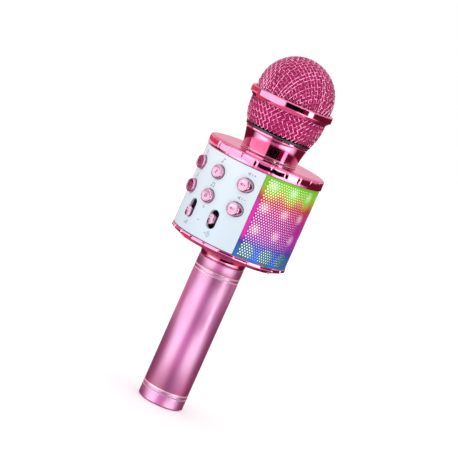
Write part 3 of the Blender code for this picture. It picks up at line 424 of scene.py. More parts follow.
bottom_low, bottom_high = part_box("bottom_cover")
rim_radius = bottom_high.x
rim_top = bottom_high.z - 0.0030
rim_bevel = 0.0030
lip_radius = rim_radius - 0.0028
lip_bore = lip_radius - 0.0014
cover_floor = bottom_low.z + 0.0024
bottom_outline = rounded([
    (0.0125, bottom_low.z), (rim_radius - rim_bevel, bottom_low.z),
    (rim_radius, bottom_low.z + rim_bevel * 0.75), (rim_radius, rim_top), (lip_radius, rim_top),
    (lip_radius, bottom_high.z), (lip_bore, bottom_high.z), (lip_bore, cover_floor),
    (0.0125, cover_floor)], 0.0005)
bottom_cover = solid("bottom_cover_plated", lathe(bottom_outline, 288, shape=notched(
    rim_radius, bottom_low.z + rim_bevel * 0.35, rim_top)), PINK_PLATE)
screw_nodes = [f"bottom_cover_screw_{number}" for number in range(1, 5)]
screw_places = []
for name in screw_nodes:
    low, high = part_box(name)
    screw_places.append(((low.x + high.x) / 2, (low.y + high.y) / 2, low.z))
screw_low, screw_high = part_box(screw_nodes[0])
head_radius = (screw_high.x - screw_low.x) / 2
head_height = 0.0012
cutters = [rod_cutter(head_radius + 0.0003, bottom_low.z - 0.01, bottom_low.z + head_height + 0.0003,
                      x, y) for x, y, z in screw_places]
socket_room = 0.0003
for name in ("audio_jack", "usb_socket", "card_socket"):
    low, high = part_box(name)
    cutters.append(box_cutter((high.x - low.x + 2 * socket_room, high.y - low.y + 2 * socket_room, 0.02),
                              ((low.x + high.x) / 2, (low.y + high.y) / 2, bottom_low.z)))
subtract(bottom_cover, *cutters)
fit(bottom_cover, "housing", "pink_plated", "bottom_cover")


class Recipe(Nodes):
    """A Geometry Nodes tree with named sizes; make() turns it into a plain mesh object."""

    def __init__(self, name, **sizes):
        super().__init__(bpy.data.node_groups.new(name, "GeometryNodeTree"))
        kinds = {float: "NodeSocketFloat", int: "NodeSocketInt", bpy.types.Object: "NodeSocketObject"}
        self.sizes = sizes
        self.sockets = {}
        for key, size in sizes.items():
            socket = self.tree.interface.new_socket(
                name=key.replace("_", " "), in_out="INPUT", socket_type=kinds[type(size)])
            self.sockets[key] = socket.identifier
        self.tree.interface.new_socket(
            name="Geometry", in_out="OUTPUT", socket_type="NodeSocketGeometry")
        self.entry = self.tree.nodes.new("NodeGroupInput")

    def size(self, key):
        return Value(self, self.entry.outputs[list(self.sizes).index(key)])

    def add(self, kind, settings=None, inputs=None, output=0):
        return self.node("GeometryNode" + kind, settings, inputs, output)

    def joined(self, *parts):
        made = self.tree.nodes.new("GeometryNodeJoinGeometry")
        for part in parts:
            self.tree.links.new(part.socket, made.inputs[0])
        return Value(self, made.outputs[0])

    def place(self):
        """The x, y and z of each point."""
        split = self.node("ShaderNodeSeparateXYZ", inputs={0: self.add("InputPosition")}).socket.node
        return [Value(self, split.outputs[index]) for index in range(3)]

    def moved(self, geometry, x, y, z):
        spot = self.node("ShaderNodeCombineXYZ", inputs={0: x, 1: y, 2: z})
        return self.add("SetPosition", inputs={"Geometry": geometry, "Position": spot})

    def make(self, name, geometry, material):
        done = self.add("RealizeInstances", inputs={0: geometry})
        done = self.add("SetShadeSmooth", inputs={0: done})
        done = self.add("SetMaterial", inputs={"Geometry": done, "Material": material})
        out = self.tree.nodes.new("NodeGroupOutput")
        self.tree.links.new(done.socket, out.inputs[0])
        made = bpy.data.objects.new(name, bpy.data.meshes.new(name))
        bpy.context.scene.collection.objects.link(made)
        change = made.modifiers.new(name, "NODES")
        change.node_group = self.tree
        for key, size in self.sizes.items():
            change[self.sockets[key]] = size
        return settle(made)


screw_shank = 0.0012
screw_length = screw_high.z - screw_low.z
screw = solid("one_screw", lathe(rounded([
    (0.0, 0.0), (head_radius, 0.0), (head_radius, head_height), (screw_shank, head_height),
    (screw_shank, screw_length - screw_shank), (0.0, screw_length)], 0.0004), 40))
arm = (head_radius * 1.25, head_radius * 0.28, 0.0014)
subtract(screw, box_cutter(arm, (0, 0, 0)), box_cutter((arm[1], arm[0], arm[2]), (0, 0, 0)))
spots = bpy.data.meshes.new("screw_spots")
spots.from_pydata(screw_places, [], [])
spot_object = bpy.data.objects.new("screw_spots", spots)
screwing = Recipe("screws_on_points", Screw=screw, Places=spot_object)
screwed = screwing.add("InstanceOnPoints", inputs={
    "Points": screwing.add("ObjectInfo", inputs={0: screwing.size("Places")}, output="Geometry"),
    "Instance": screwing.add("ObjectInfo", inputs={0: screwing.size("Screw")}, output="Geometry")})
bottom_screws = screwing.make("bottom_cover_screws", screwed, BRIGHT_STEEL)
bottom_screws.data.set_sharp_from_angle(angle=math.radians(35))
bpy.data.objects.remove(screw)
bpy.data.objects.remove(spot_object)
fit(bottom_screws, "housing", "bright_steel", *screw_nodes)
repaint(BRIGHT_STEEL, "audio_jack", "usb_socket", "card_socket",
        "top_cover_screw_1", "top_cover_screw_2", "top_cover_screw_3")

socket_low, socket_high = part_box("usb_socket")
tongue_size = (0.0062, 0.0007, 0.0042)
tongue_rise = 0.0029
bm = bmesh.new()
add_block(bm, tongue_size, ((socket_low.x + socket_high.x) / 2, (socket_low.y + socket_high.y) / 2,
                            socket_low.z + tongue_rise))
fit(solid("usb_tongue", bm, BLACK_PLASTIC), "housing", "black_plastic")


# ---- chassis, boards, controls and speaker --------------------------------------------------------
# A moulded box carries the main board with its switches and slide controls, the port board over the
# sockets, the two flexible light boards, and one paper-coned speaker that faces the back.
def board_green():
    finish = Finish("board_green")
    weave = finish.noise(1500.0)
    finish.set(base_color=finish.blend(weave, (0.012, 0.11, 0.04), (0.02, 0.19, 0.07)),
               roughness=weave * 0.1 + 0.35)
    finish.bump(weave, 0.00002, 0.3)
    return finish.material


def pressed_paper():
    finish = Finish("pressed_paper")
    fibres = finish.noise(700.0, (1.0, 1.0, 3.0), 6.0)
    finish.set(base_color=finish.blend(fibres, (0.018, 0.018, 0.020), (0.07, 0.07, 0.072)),
               roughness=fibres * 0.2 + 0.7)
    finish.bump(fibres, 0.00008, 0.8)
    return finish.material


BOARD_GREEN = board_green()
DARK_IRON = bare_metal("blackened_iron", (0.05, 0.05, 0.055), (0.11, 0.11, 0.12), 0.45)
PAPER = pressed_paper()
switch_nodes = [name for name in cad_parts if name.startswith("switch_")]
repaint(BLACK_PLASTIC, "chassis", *switch_nodes)
repaint(BOARD_GREEN, "main_board", "port_board", "light_board_left", "light_board_right")
repaint(DARK_IRON, "slider_pot_left", "slider_pot_right", "speaker_magnet")


def lathe_along_y(outline, x, z, sides=64):
    """Turn an outline of (radius, y) about a line along Y through x and z."""
    bm = lathe(outline, sides)
    bmesh.ops.rotate(bm, verts=bm.verts, matrix=Matrix.Rotation(math.radians(-90), 3, "X"))
    bmesh.ops.translate(bm, verts=bm.verts, vec=(x, 0.0, z))
    return bm


frame_low, frame_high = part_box("speaker_frame")
speaker_z = (frame_low.z + frame_high.z) / 2
speaker_radius = frame_high.x
basket_radius = 0.0190
speaker_face = frame_high.y
speaker_frame = solid("speaker_frame_pressed", lathe_along_y(rounded([
    (speaker_radius, speaker_face - 0.0015), (speaker_radius, speaker_face),
    (basket_radius, speaker_face), (basket_radius, speaker_face - 0.0058),
    (0.0122, frame_low.y + 0.0008), (0.0066, frame_low.y + 0.0008), (0.0066, frame_low.y),
    (0.0130, frame_low.y), (basket_radius + 0.0008, speaker_face - 0.0066),
    (basket_radius + 0.0008, speaker_face - 0.0015)], 0.0003), 0.0, speaker_z, 96), DARK_IRON)
fit(speaker_frame, "housing", "dark_iron", "speaker_frame")

cone_low, cone_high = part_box("speaker_cone")
cone_edge = cone_high.x
roll = []
for step in range(9):
    angle = math.pi * step / 8
    roll.append((cone_edge - 0.0014 + 0.0012 * math.cos(angle),
                 cone_high.y - 0.0012 + 0.0011 * math.sin(angle)))
cap_curve = [(0.0062 * math.cos(math.radians(angle)), cone_low.y + 0.0042
              + 0.0026 * math.sin(math.radians(angle))) for angle in range(0, 91, 15)]
cap_curve[-1] = (0.0, cap_curve[-1][1])
front = [(cone_edge, cone_high.y - 0.0012), *roll, (cone_edge - 0.0034, cone_high.y - 0.0016),
         (0.0066, cone_low.y + 0.0036), *cap_curve]
paper_wall = 0.0003
back = [(radius, along - paper_wall) for radius, along in reversed(front)]
speaker_cone = solid("speaker_cone_pressed", lathe_along_y(front + back, 0.0, speaker_z, 96), PAPER)
fit(speaker_cone, "housing", "paper_cone", "speaker_cone")


# ---- lit diffusers --------------------------------------------------------------------------------
# Two curved sheets of milky plastic, sprung between the covers in front of the light boards.  They
# spread each row of lights into its own colour, with a brighter pool in front of every light.
glow_stops = (
    (0.00, (0.01, 0.13, 0.50)), (0.12, (0.01, 0.09, 0.46)), (0.19, (0.05, 0.03, 0.30)),
    (0.27, (0.25, 0.02, 0.28)), (0.40, (0.33, 0.01, 0.25)), (0.52, (0.32, 0.01, 0.21)),
    (0.64, (0.42, 0.01, 0.17)), (0.73, (0.40, 0.03, 0.05)), (0.81, (0.42, 0.28, 0.02)),
    (0.86, (0.22, 0.46, 0.01)), (1.00, (0.13, 0.48, 0.01)))
spill_stops = (
    (0.00, (0.12, 0.42, 0.85)), (0.16, (0.30, 0.34, 0.80)), (0.27, (0.80, 0.60, 0.84)),
    (0.40, (0.90, 0.62, 0.82)), (0.60, (0.94, 0.68, 0.76)), (0.73, (1.0, 0.60, 0.48)),
    (0.81, (1.0, 0.98, 0.60)), (0.88, (0.80, 1.0, 0.60)), (1.00, (0.66, 1.0, 0.48)))
skin_low, skin_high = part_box("speaker_grille")
skin_radius = skin_high.x
light_row_start = skin_low.z + 0.0052
light_row_step = 0.0151
light_column_start = math.radians(54.8)
light_column_step = math.radians(22.76)


class Glow(Finish):
    """A finish whose colour and glow are painted with the light of the lights behind it; its colours
    follow the height on the drum.
    """

    def __init__(self, name):
        super().__init__(name)
        self.x, self.y, self.z = self.axes()
        self.share = (self.z - skin_low.z) / (skin_high.z - skin_low.z)
        self.turn = self.x.maths("ARCTAN2", self.y * -1.0).maths("ABSOLUTE")
        column = (self.turn - light_column_start) / light_column_step
        top = self.node("ShaderNodeMapRange", inputs={
            "Value": self.share, "From Min": 0.68, "From Max": 0.80})
        self.level = self.share + (column * (2 * math.pi)).maths("COSINE") * top * 0.035

    def ramp(self, share, stops):
        return self.node("ShaderNodeValToRGB", {"stops": stops}, {0: share})

    def pools(self, radius, soft):
        """1 in front of each light, falling to 0 over the width soft at the given radius."""
        column = (self.turn - light_column_start) / light_column_step
        row = (self.z - light_row_start) / light_row_step
        across = (column - column.maths("ROUND")) * (light_column_step * skin_radius)
        up = (row - row.maths("ROUND")) * light_row_step
        reach = (across * across + up * up).maths("SQRT")
        return self.node("ShaderNodeMapRange", {"interpolation_type": "SMOOTHSTEP"}, {
            "Value": reach, "From Min": radius + soft, "From Max": radius - soft})

    def sides(self):
        """1 over the lit sides, and 0 in front of the speaker."""
        return self.node("ShaderNodeMapRange", {"interpolation_type": "SMOOTHSTEP"}, {
            "Value": self.turn, "From Min": math.radians(136), "From Max": math.radians(122)})


def milky_plastic():
    finish = Glow("milky_plastic")
    cloud = finish.noise(900.0)
    peach = finish.node("ShaderNodeMapRange", inputs={
        "Value": finish.share, "From Min": 0.50, "From Max": 0.44})
    spill = finish.ramp(finish.level, spill_stops)
    low = finish.node("ShaderNodeMapRange", inputs={
        "Value": finish.share, "From Min": 0.20, "From Max": 0.27})
    pool = finish.blend(peach, (1.0, 0.97, 1.0), (1.0, 0.86, 0.50))
    pooled = finish.blend(finish.pools(0.0032, 0.0020) * low, spill, pool)
    discs = finish.pools(0.0056, 0.0004) * (1.0 - low)
    colour = finish.blend(discs + cloud * 0.02, pooled, (0.90, 1.0, 0.92))
    finish.set(base_color=finish.blend(cloud, (0.70, 0.74, 0.76), (0.82, 0.85, 0.86)),
               roughness=cloud * 0.1 + 0.45, emission_color=colour, emission_strength=0.95)
    return finish.material


MILKY = milky_plastic()
for side in ("left", "right"):
    low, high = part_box("diffuser_" + side)
    outer = skin_radius - 0.0013
    inner = outer - 0.0015
    thin = outer - 0.0007
    reach = 0.0026
    first, last = (46.5, 131.5) if side == "right" else (-131.5, -46.5)
    diffuser = solid("diffuser_sheet_" + side, lathe(rounded([
        (inner, low.z), (thin, low.z), (thin, low.z - reach), (outer, low.z - reach),
        (outer, high.z + reach), (thin, high.z + reach), (thin, high.z), (inner, high.z)],
        0.0002), 72, first, last), MILKY)
    fit(diffuser, "housing", "diffuser", "diffuser_" + side)


# ---- speaker grille -------------------------------------------------------------------------------
# One steel sheet, punched with hexagonal holes in staggered rows, rolled round the drum and held
# between the covers.  A plain border is left along its four edges, where it is clipped behind the rims.
def lit_steel():
    finish = Glow("lit_steel")
    grain = finish.noise(1200.0)
    low = finish.node("ShaderNodeMapRange", inputs={
        "Value": finish.share, "From Min": 0.20, "From Max": 0.27})
    discs = finish.pools(0.0056, 0.0004) * (1.0 - low)
    pools = finish.pools(0.0028, 0.0022) * low
    # Painted glow: on the lit sides the colours of the lights behind the sheet are painted into the
    # steel's base colour and emission, with paler painted pools of spill in front of the upper lights,
    # dark painted discs in front of the bottom row and a painted magenta strip beside the panel; the back
    # keeps its pink paint.
    hue = finish.ramp(finish.level, glow_stops)
    spill = finish.ramp(finish.level, spill_stops)
    painted_glow = finish.blend(pools * 0.4, hue, spill)
    painted_glow = finish.blend(discs, painted_glow, (0.03, 0.13, 0.19))
    beside_panel = finish.node("ShaderNodeMapRange", inputs={
        "Value": finish.turn, "From Min": math.radians(49.2), "From Max": math.radians(47.6)})
    middle = finish.node("ShaderNodeMapRange", inputs={
        "Value": finish.share, "From Min": 0.74, "From Max": 0.66})
    painted_glow = finish.blend(beside_panel * middle * low, painted_glow, (0.64, 0.01, 0.36))
    lit = finish.sides()
    paint = finish.blend(grain, (0.58, 0.18, 0.33), (0.64, 0.23, 0.39))
    finish.set(base_color=finish.blend(lit, paint, painted_glow), metallic=lit * -0.6 + 0.7,
               roughness=grain * 0.12 + 0.45,
               emission_color=finish.blend(lit, (0.0, 0.0, 0.0), painted_glow), emission_strength=0.20)
    finish.bump(grain, 0.00002, 0.3)
    return finish.material


GLOW_PAINTED_STEEL = lit_steel()
sheet = 0.0004
hole_pitch = 0.00180
hole_share = 0.54
row_pitch = hole_pitch * math.sqrt(3) / 2
opening = math.radians(44.7)
skin_arc = 2 * (math.pi - opening) * skin_radius
skin_height = skin_high.z - skin_low.z
columns = int((skin_arc - 0.0050) / hole_pitch)
rows = int((skin_height - 0.0014) / row_pitch)
border = (skin_arc - columns * hole_pitch) / 2
edge_border = (skin_height - (rows + 0.2) * row_pitch) / 2
arc_start = opening * skin_radius + border
arc_end = arc_start + columns * hole_pitch

bm = bmesh.new()
rings = []
for share, depth in ((1.0, 0.0), (hole_share, 0.0), (hole_share, -sheet), (1.0, -sheet)):
    reach = hole_pitch / math.sqrt(3) * share
    rings.append([bm.verts.new((reach * math.sin(math.radians(60 * corner)),
                                reach * math.cos(math.radians(60 * corner)), depth))
                  for corner in range(6)])
for ring, following in zip(rings, rings[1:]):
    for corner in range(6):
        beyond = (corner + 1) % 6
        bm.faces.new((ring[corner], ring[beyond], following[beyond], following[corner]))
cell_mesh = bpy.data.meshes.new("hole_cell")
bm.to_mesh(cell_mesh)
bm.free()
cell = bpy.data.objects.new("hole_cell", cell_mesh)

punching = Recipe("punched_sheet", Cell=cell, Columns=columns, Rows=rows, Pitch=hole_pitch,
                  Row_pitch=row_pitch, Radius=skin_radius, Start=arc_start,
                  Bottom=skin_low.z + edge_border + row_pitch * 0.6)
grid = punching.add("MeshGrid", inputs={
    "Size X": punching.size("Pitch") * (punching.size("Columns") - 1.0),
    "Size Y": punching.size("Row_pitch") * (punching.size("Rows") - 1.0),
    "Vertices X": punching.size("Columns"), "Vertices Y": punching.size("Rows")})
x, y, z = punching.place()
along = x + punching.size("Pitch") * (punching.size("Columns") - 1.0) / 2.0
height = y + punching.size("Row_pitch") * (punching.size("Rows") - 1.0) / 2.0
odd = (height / punching.size("Row_pitch")).maths("ROUND").maths("FLOORED_MODULO", 2.0)
grid = punching.moved(grid, along + punching.size("Pitch") * (odd * 0.5 + 0.25) + punching.size("Start"),
                      height + punching.size("Bottom"), 0.0)
cells = punching.add("InstanceOnPoints", inputs={
    "Points": grid,
    "Instance": punching.add("ObjectInfo", inputs={0: punching.size("Cell")}, output="Geometry")})
cells = punching.add("RealizeInstances", inputs={0: cells})
cells = punching.add("MergeByDistance", inputs={"Geometry": cells, "Distance": 0.00002})
x, y, z = punching.place()
turn = x / punching.size("Radius")
out = punching.size("Radius") + z - 0.0001
cells = punching.moved(cells, out * turn.maths("SINE"), out * turn.maths("COSINE") * -1.0, y)
grille = punching.make("speaker_grille_punched", cells, GLOW_PAINTED_STEEL)
bpy.data.objects.remove(cell)
bm = bmesh.new()
bm.from_mesh(grille.data)
rim = [edge for edge in bm.edges if edge.is_boundary]
tip = hole_pitch / math.sqrt(3) / 2
for vertex in {vertex for edge in rim for vertex in edge.verts}:
    arc = math.atan2(vertex.co.x, -vertex.co.y) % (2 * math.pi) * skin_radius
    depth = math.hypot(vertex.co.x, vertex.co.y)
    if arc < arc_start + hole_pitch * 0.3:
        arc = arc_start - hole_pitch * 0.25
    if arc > arc_end - hole_pitch * 0.3:
        arc = arc_end + hole_pitch * 0.25
    if vertex.co.z < skin_low.z + edge_border + tip:
        vertex.co.z = skin_low.z + edge_border - tip * 0.2
    if vertex.co.z > skin_high.z - edge_border - tip:
        vertex.co.z = skin_high.z - edge_border + tip * 0.2
    vertex.co.x = depth * math.sin(arc / skin_radius)
    vertex.co.y = -depth * math.cos(arc / skin_radius)
bmesh.ops.bridge_loops(bm, edges=rim)
bmesh.ops.recalc_face_normals(bm, faces=bm.faces)
bm.to_mesh(grille.data)
bm.free()
grille.data.set_sharp_from_angle(angle=math.radians(35))
fit(grille, "housing", "grille_metal", "speaker_grille")

bm = bmesh.new()
border_turn = border / skin_radius
turns = [opening, opening + border_turn]
turns += [opening + border_turn + (2 * math.pi - 2 * opening - 2 * border_turn) * step / 140
          for step in range(1, 141)]
turns.append(2 * math.pi - opening)
heights = [skin_low.z, skin_low.z + edge_border, skin_high.z - edge_border, skin_high.z]
points = [[bm.verts.new((skin_radius * math.sin(turn), -skin_radius * math.cos(turn), height))
           for turn in turns] for height in heights]
for row in range(3):
    for column in range(len(turns) - 1):
        if row == 1 and 0 < column < len(turns) - 2:
            continue
        bm.faces.new((points[row][column], points[row][column + 1],
                      points[row + 1][column + 1], points[row + 1][column]))
grille_border = solid("speaker_grille_border", bm, GLOW_PAINTED_STEEL)
thicken = grille_border.modifiers.new("sheet", "SOLIDIFY")
thicken.thickness = sheet + 0.0004
thicken.offset = -1.0
settle(grille_border)
fit(grille_border, "housing", "grille_metal", "speaker_grille")


# ---- control panel --------------------------------------------------------------------------------
# A curved moulding in pale satin plastic that snaps into the front quarter of the drum, with six
# bored holes for the keys and two upright slots.  Its signs are printed, and stand a hair proud.
def satin_panel():
    finish = Finish("satin_panel")
    grain = finish.noise(2600.0)
    x, y, z = finish.axes()
    painted_shade_height = (z - skin_low.z) / (skin_high.z - skin_low.z)
    # Painted shade: the panel is painted darker and bluer towards the bottom and paler towards the top, as
    # if lit from above.
    colour = finish.blend(painted_shade_height, (0.66, 0.80, 0.90), (0.80, 0.89, 0.95))
    finish.set(base_color=finish.blend(grain * 0.25, colour, (0.86, 0.92, 0.96)),
               roughness=grain * 0.14 + 0.38, coat_weight=0.12, coat_roughness=0.3)
    finish.bump(grain, 0.000015, 0.35)
    return finish.material


def printed_grey():
    finish = Finish("printed_grey")
    speckle = finish.noise(3000.0)
    finish.set(base_color=finish.blend(speckle, (0.30, 0.40, 0.52), (0.40, 0.50, 0.62)),
               roughness=speckle * 0.1 + 0.5)
    return finish.material


SATIN_PANEL = satin_panel()
PRINTED_GREY = printed_grey()
key_names = [f"button_{column}_{row}" for column in ("left", "middle", "right")
             for row in ("top", "bottom")]
panel_thickness = 0.0020
panel_turn = 44.29
panel = solid("control_panel_moulded", lathe(rounded([
    (skin_radius - panel_thickness, skin_low.z), (skin_radius, skin_low.z),
    (skin_radius, skin_high.z), (skin_radius - panel_thickness, skin_high.z)], 0.0004),
    96, -panel_turn, panel_turn), SATIN_PANEL)
key_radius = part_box("button_middle_top")[1].x
key_room = 0.0003


def stadium_points(width, length, steps=14):
    """The outline (x, z) of an upright slot with round ends."""
    reach = (length - width) / 2
    return [(width / 2 * math.cos(turn + math.pi * step / steps),
             end * reach + width / 2 * math.sin(turn + math.pi * step / steps))
            for end, turn in ((1, 0.0), (-1, math.pi)) for step in range(steps + 1)]


def close_between(bm, near, far):
    """Close the space between two matching outlines, and give back the faces made."""
    faces = [bm.faces.new(near), bm.faces.new(list(reversed(far)))]
    for index in range(len(near)):
        beyond = (index + 1) % len(near)
        faces.append(bm.faces.new((near[index], far[index], far[beyond], near[beyond])))
    return faces


def prism_along_y(points, front, back, x, z):
    """A closed prism of an outline (x, z), from y = front to y = back."""
    bm = bmesh.new()
    near = [bm.verts.new((x + px, front, z + pz)) for px, pz in points]
    far = [bm.verts.new((x + px, back, z + pz)) for px, pz in points]
    close_between(bm, near, far)
    return bm


holes = []
key_places = {}
for name in key_names:
    low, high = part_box(name)
    key_places[name] = ((low.x + high.x) / 2, (low.z + high.z) / 2)
    holes.append(solid("hole", lathe_along_y([
        (0.0, -0.06), (key_radius + key_room, -0.06), (key_radius + key_room, -0.02), (0.0, -0.02)],
        *key_places[name], 64)))
slot_width = 0.0062
slot_length = 0.0130
pot_low, pot_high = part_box("slider_pot_right")
slot_x = (pot_low.x + pot_high.x) / 2
slot_z = (pot_low.z + pot_high.z) / 2
for side in (-1, 1):
    holes.append(solid("hole", prism_along_y(
        stadium_points(slot_width, slot_length), -0.06, -0.02, side * slot_x, slot_z)))
subtract(panel, *holes)
fit(panel, "housing", "white_panel", "control_panel")

ink_height = 0.00005


def ink(bm, points, across, up):
    """One printed shape from its outline in metres, laid on the panel at an arc and a height."""
    near, far = [], []
    for px, pz in points:
        turn = (across + px) / skin_radius
        for ring, radius in ((near, skin_radius + ink_height), (far, skin_radius - 2 * ink_height)):
            ring.append(bm.verts.new((radius * math.sin(turn), -radius * math.cos(turn), up + pz)))
    close_between(bm, near, far)


def bar(width, height, x=0.0, z=0.0, lean=0.0):
    """A bar's four corners about (x, z), turned by lean degrees."""
    turn = math.radians(lean)
    corners = ((-width, -height), (width, -height), (width, height), (-width, height))
    return [(x + (a * math.cos(turn) - b * math.sin(turn)) / 2,
             z + (a * math.sin(turn) + b * math.cos(turn)) / 2) for a, b in corners]


def dot(radius, x=0.0, z=0.0, sides=16):
    return [(x + radius * math.cos(2 * math.pi * step / sides),
             z + radius * math.sin(2 * math.pi * step / sides)) for step in range(sides)]


def bow(radius, thickness, first, last, x=0.0, z=0.0, steps=10):
    """A curved stroke about (x, z) from one angle to another, in degrees."""
    turns = [math.radians(first + (last - first) * step / steps) for step in range(steps + 1)]
    outer = [(x + (radius + thickness / 2) * math.cos(turn), z + (radius + thickness / 2) * math.sin(turn))
             for turn in turns]
    inner = [(x + (radius - thickness / 2) * math.cos(turn), z + (radius - thickness / 2) * math.sin(turn))
             for turn in reversed(turns)]
    return outer + inner


stroke = 0.00032
horn = [(-0.0009, -0.0004), (-0.0004, -0.0004), (0.0002, -0.0010), (0.0002, 0.0010),
        (-0.0004, 0.0004), (-0.0009, 0.0004)]
signs = {
    "power": [bow(0.0009, stroke, 125, 415), bar(stroke, 0.0010, 0.0, 0.0008)],
    "repeat": [bow(0.0009, stroke, 20, 160), bow(0.0009, stroke, 200, 340),
               [(0.0005, 0.0004), (0.0013, 0.0004), (0.0009, -0.0002)],
               [(-0.0005, -0.0004), (-0.0013, -0.0004), (-0.0009, 0.0002)]],
    "note": [dot(0.00045, -0.0005, -0.0008), bar(stroke, 0.0020, -0.0001, 0.0002),
             bar(0.0011, stroke, 0.0004, 0.0010, -20)],
    "pair": [dot(0.00042, -0.0010, -0.0008), dot(0.00042, 0.0004, -0.0008),
             bar(stroke, 0.0019, -0.0007, 0.0001), bar(stroke, 0.0019, 0.0007, 0.0001),
             bar(0.0017, stroke * 1.5, 0.0, 0.0009)],
    "louder": [horn, bow(0.0007, stroke, -45, 45, 0.0004), bar(0.0010, stroke, 0.0023),
               bar(stroke, 0.0010, 0.0023)],
    "softer": [horn, bow(0.0007, stroke, -45, 45, 0.0004), bar(0.0010, stroke, 0.0023)],
    "plus": [bar(0.0014, stroke), bar(stroke, 0.0014)],
    "minus": [bar(0.0014, stroke)],
    "echo": [dot(0.00035, -0.0010)] + [bow(radius, stroke, -50, 50, -0.0010)
                                       for radius in (0.0009, 0.0016, 0.0023)],
    "level": [bar(stroke * 1.4, 0.0006 + 0.0005 * step, -0.0012 + 0.0007 * step,
                  0.00025 * step - 0.0005) for step in range(4)]}
key_signs = {"button_left_top": "power", "button_left_bottom": "repeat", "button_middle_top": "note",
             "button_middle_bottom": "pair", "button_right_top": "louder",
             "button_right_bottom": "softer"}
sign_rise = 0.0078
printed_width, printed_height = 1.5, 1.3
bm = bmesh.new()
for name, sign in key_signs.items():
    x, z = key_places[name]
    across = skin_radius * math.asin(x / skin_radius)
    for shape in signs[sign]:
        ink(bm, [(px * printed_width, pz * printed_height) for px, pz in shape], across, z + sign_rise)
slot_arc = skin_radius * math.asin(slot_x / skin_radius)
for sign, across, up in (("plus", 0.0, slot_z + 0.0045), ("minus", 0.0, slot_z - 0.0045),
                         ("level", -slot_arc, slot_z - 0.0100), ("echo", slot_arc, slot_z - 0.0100)):
    for shape in signs[sign]:
        ink(bm, [(px * printed_width, pz * printed_height) for px, pz in shape], across, up)
panel_signs = solid("panel_signs_printed", bm, PRINTED_GREY)
fit(panel_signs, "housing", "white_panel")


# ---- keys -----------------------------------------------------------------------------------------
# Six plated caps with a raised rim round a shallow dish.  Each is pushed in from behind, held by the
# bar across its back, and bears with its stem on a switch; the outer columns' faces lean outwards.
PALE_PLATE = plated("pale_pink_plate", (0.50, 0.27, 0.38), (0.56, 0.33, 0.45))


def engraved_plum():
    finish = Finish("engraved_plum")
    speckle = finish.noise(3000.0)
    finish.set(base_color=finish.blend(speckle, (0.16, 0.02, 0.07), (0.24, 0.05, 0.12)),
               roughness=speckle * 0.1 + 0.45, metallic=0.4)
    return finish.material


ENGRAVED = engraved_plum()
key_lean = math.tan(math.radians(12.5))
key_edge = 0.0011
bar_size = (0.0060, 0.0010, 0.0126)
stem_radius = 0.0016
face_radius = key_radius - key_edge
engraved_scale = 0.9
engraved_shift = {"power": 0.0006, "louder": 0.0006, "softer": 0.0006}
for name in key_names:
    low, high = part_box(name)
    x, z = key_places[name]
    side = (x > 0.001) - (x < -0.001)
    lean = side * key_lean
    face = low.y + (key_radius - 0.0005) * abs(lean)
    skin_y = -math.sqrt((skin_radius - panel_thickness) ** 2 - (abs(x) + bar_size[0] / 2) ** 2)
    bar_front = skin_y + 0.0003
    edge = [(face_radius + key_edge * math.cos(math.radians(angle)),
             face + key_edge * (1 - math.sin(math.radians(angle)))) for angle in range(0, 90, 15)]
    outline = rounded([
        (0.0, high.y), (stem_radius, high.y), (stem_radius, bar_front + bar_size[1]),
        (key_radius, bar_front + bar_size[1]), *edge, (face_radius, face),
        (face_radius - 0.0003, face + 0.0002), (0.0, face + 0.00015)], 0.0002)
    bm = lathe_along_y(outline, x, z, 56)
    for vert in bm.verts:
        if vert.co.y < bar_front:
            share = min(1.0, (bar_front - vert.co.y) / (bar_front - face))
            vert.co.y += (vert.co.x - x) * lean * share
    add_block(bm, bar_size, (x, bar_front + bar_size[1] / 2, z))
    shift = engraved_shift.get(key_signs[name], 0.0)
    for shape in signs[key_signs[name]]:
        points = [(x + px * engraved_scale - shift, z + pz * engraved_scale) for px, pz in shape]
        tops = [bm.verts.new((px, face + 0.00003 + (px - x) * lean, pz)) for px, pz in points]
        feet = [bm.verts.new((vert.co.x, vert.co.y + 0.0003, vert.co.z)) for vert in tops]
        for engraved in close_between(bm, tops, feet):
            engraved.material_index = 1
    key = solid("cap_" + name[7:], bm, PALE_PLATE, ENGRAVED)
    fit(key, name, "pale_pink_plated", name)


# ---- slider knobs ---------------------------------------------------------------------------------
# Two plated knobs that stand out of the slots, with three gripping ridges across their fronts.  Each
# has a wide plate behind the panel, which hides the slot, and a lever into its slide control.
knob_width = 0.0042
knob_length = 0.0069
ridge_step = 0.0014
for side in ("left", "right"):
    name = "slider_knob_" + side
    low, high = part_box(name)
    x = (low.x + high.x) / 2
    z = (low.z + high.z) / 2
    plate_front = -math.sqrt((skin_radius - panel_thickness) ** 2
                             - (abs(x) + (high.x - low.x) / 2) ** 2) + 0.0012
    bm = prism_along_y(stadium_points(knob_width, knob_length), low.y + 0.0003, plate_front, x, z)
    for ridge in (-1, 0, 1):
        add_block(bm, (knob_width * 0.8, 0.0008, 0.0006), (x, low.y + 0.0004, z + ridge * ridge_step))
    add_block(bm, (high.x - low.x, 0.0010, high.z - low.z), (x, plate_front + 0.0005, z))
    add_block(bm, (0.0012, high.y - plate_front, 0.0030), (x, (plate_front + high.y) / 2, z))
    knob = solid("knob_" + side, bm, PALE_PLATE)
    soften = knob.modifiers.new("edges", "BEVEL")
    soften.width = 0.0002
    soften.segments = 2
    soften.limit_method = "ANGLE"
    settle(knob)
    fit(knob, name, "pale_pink_plated", name)


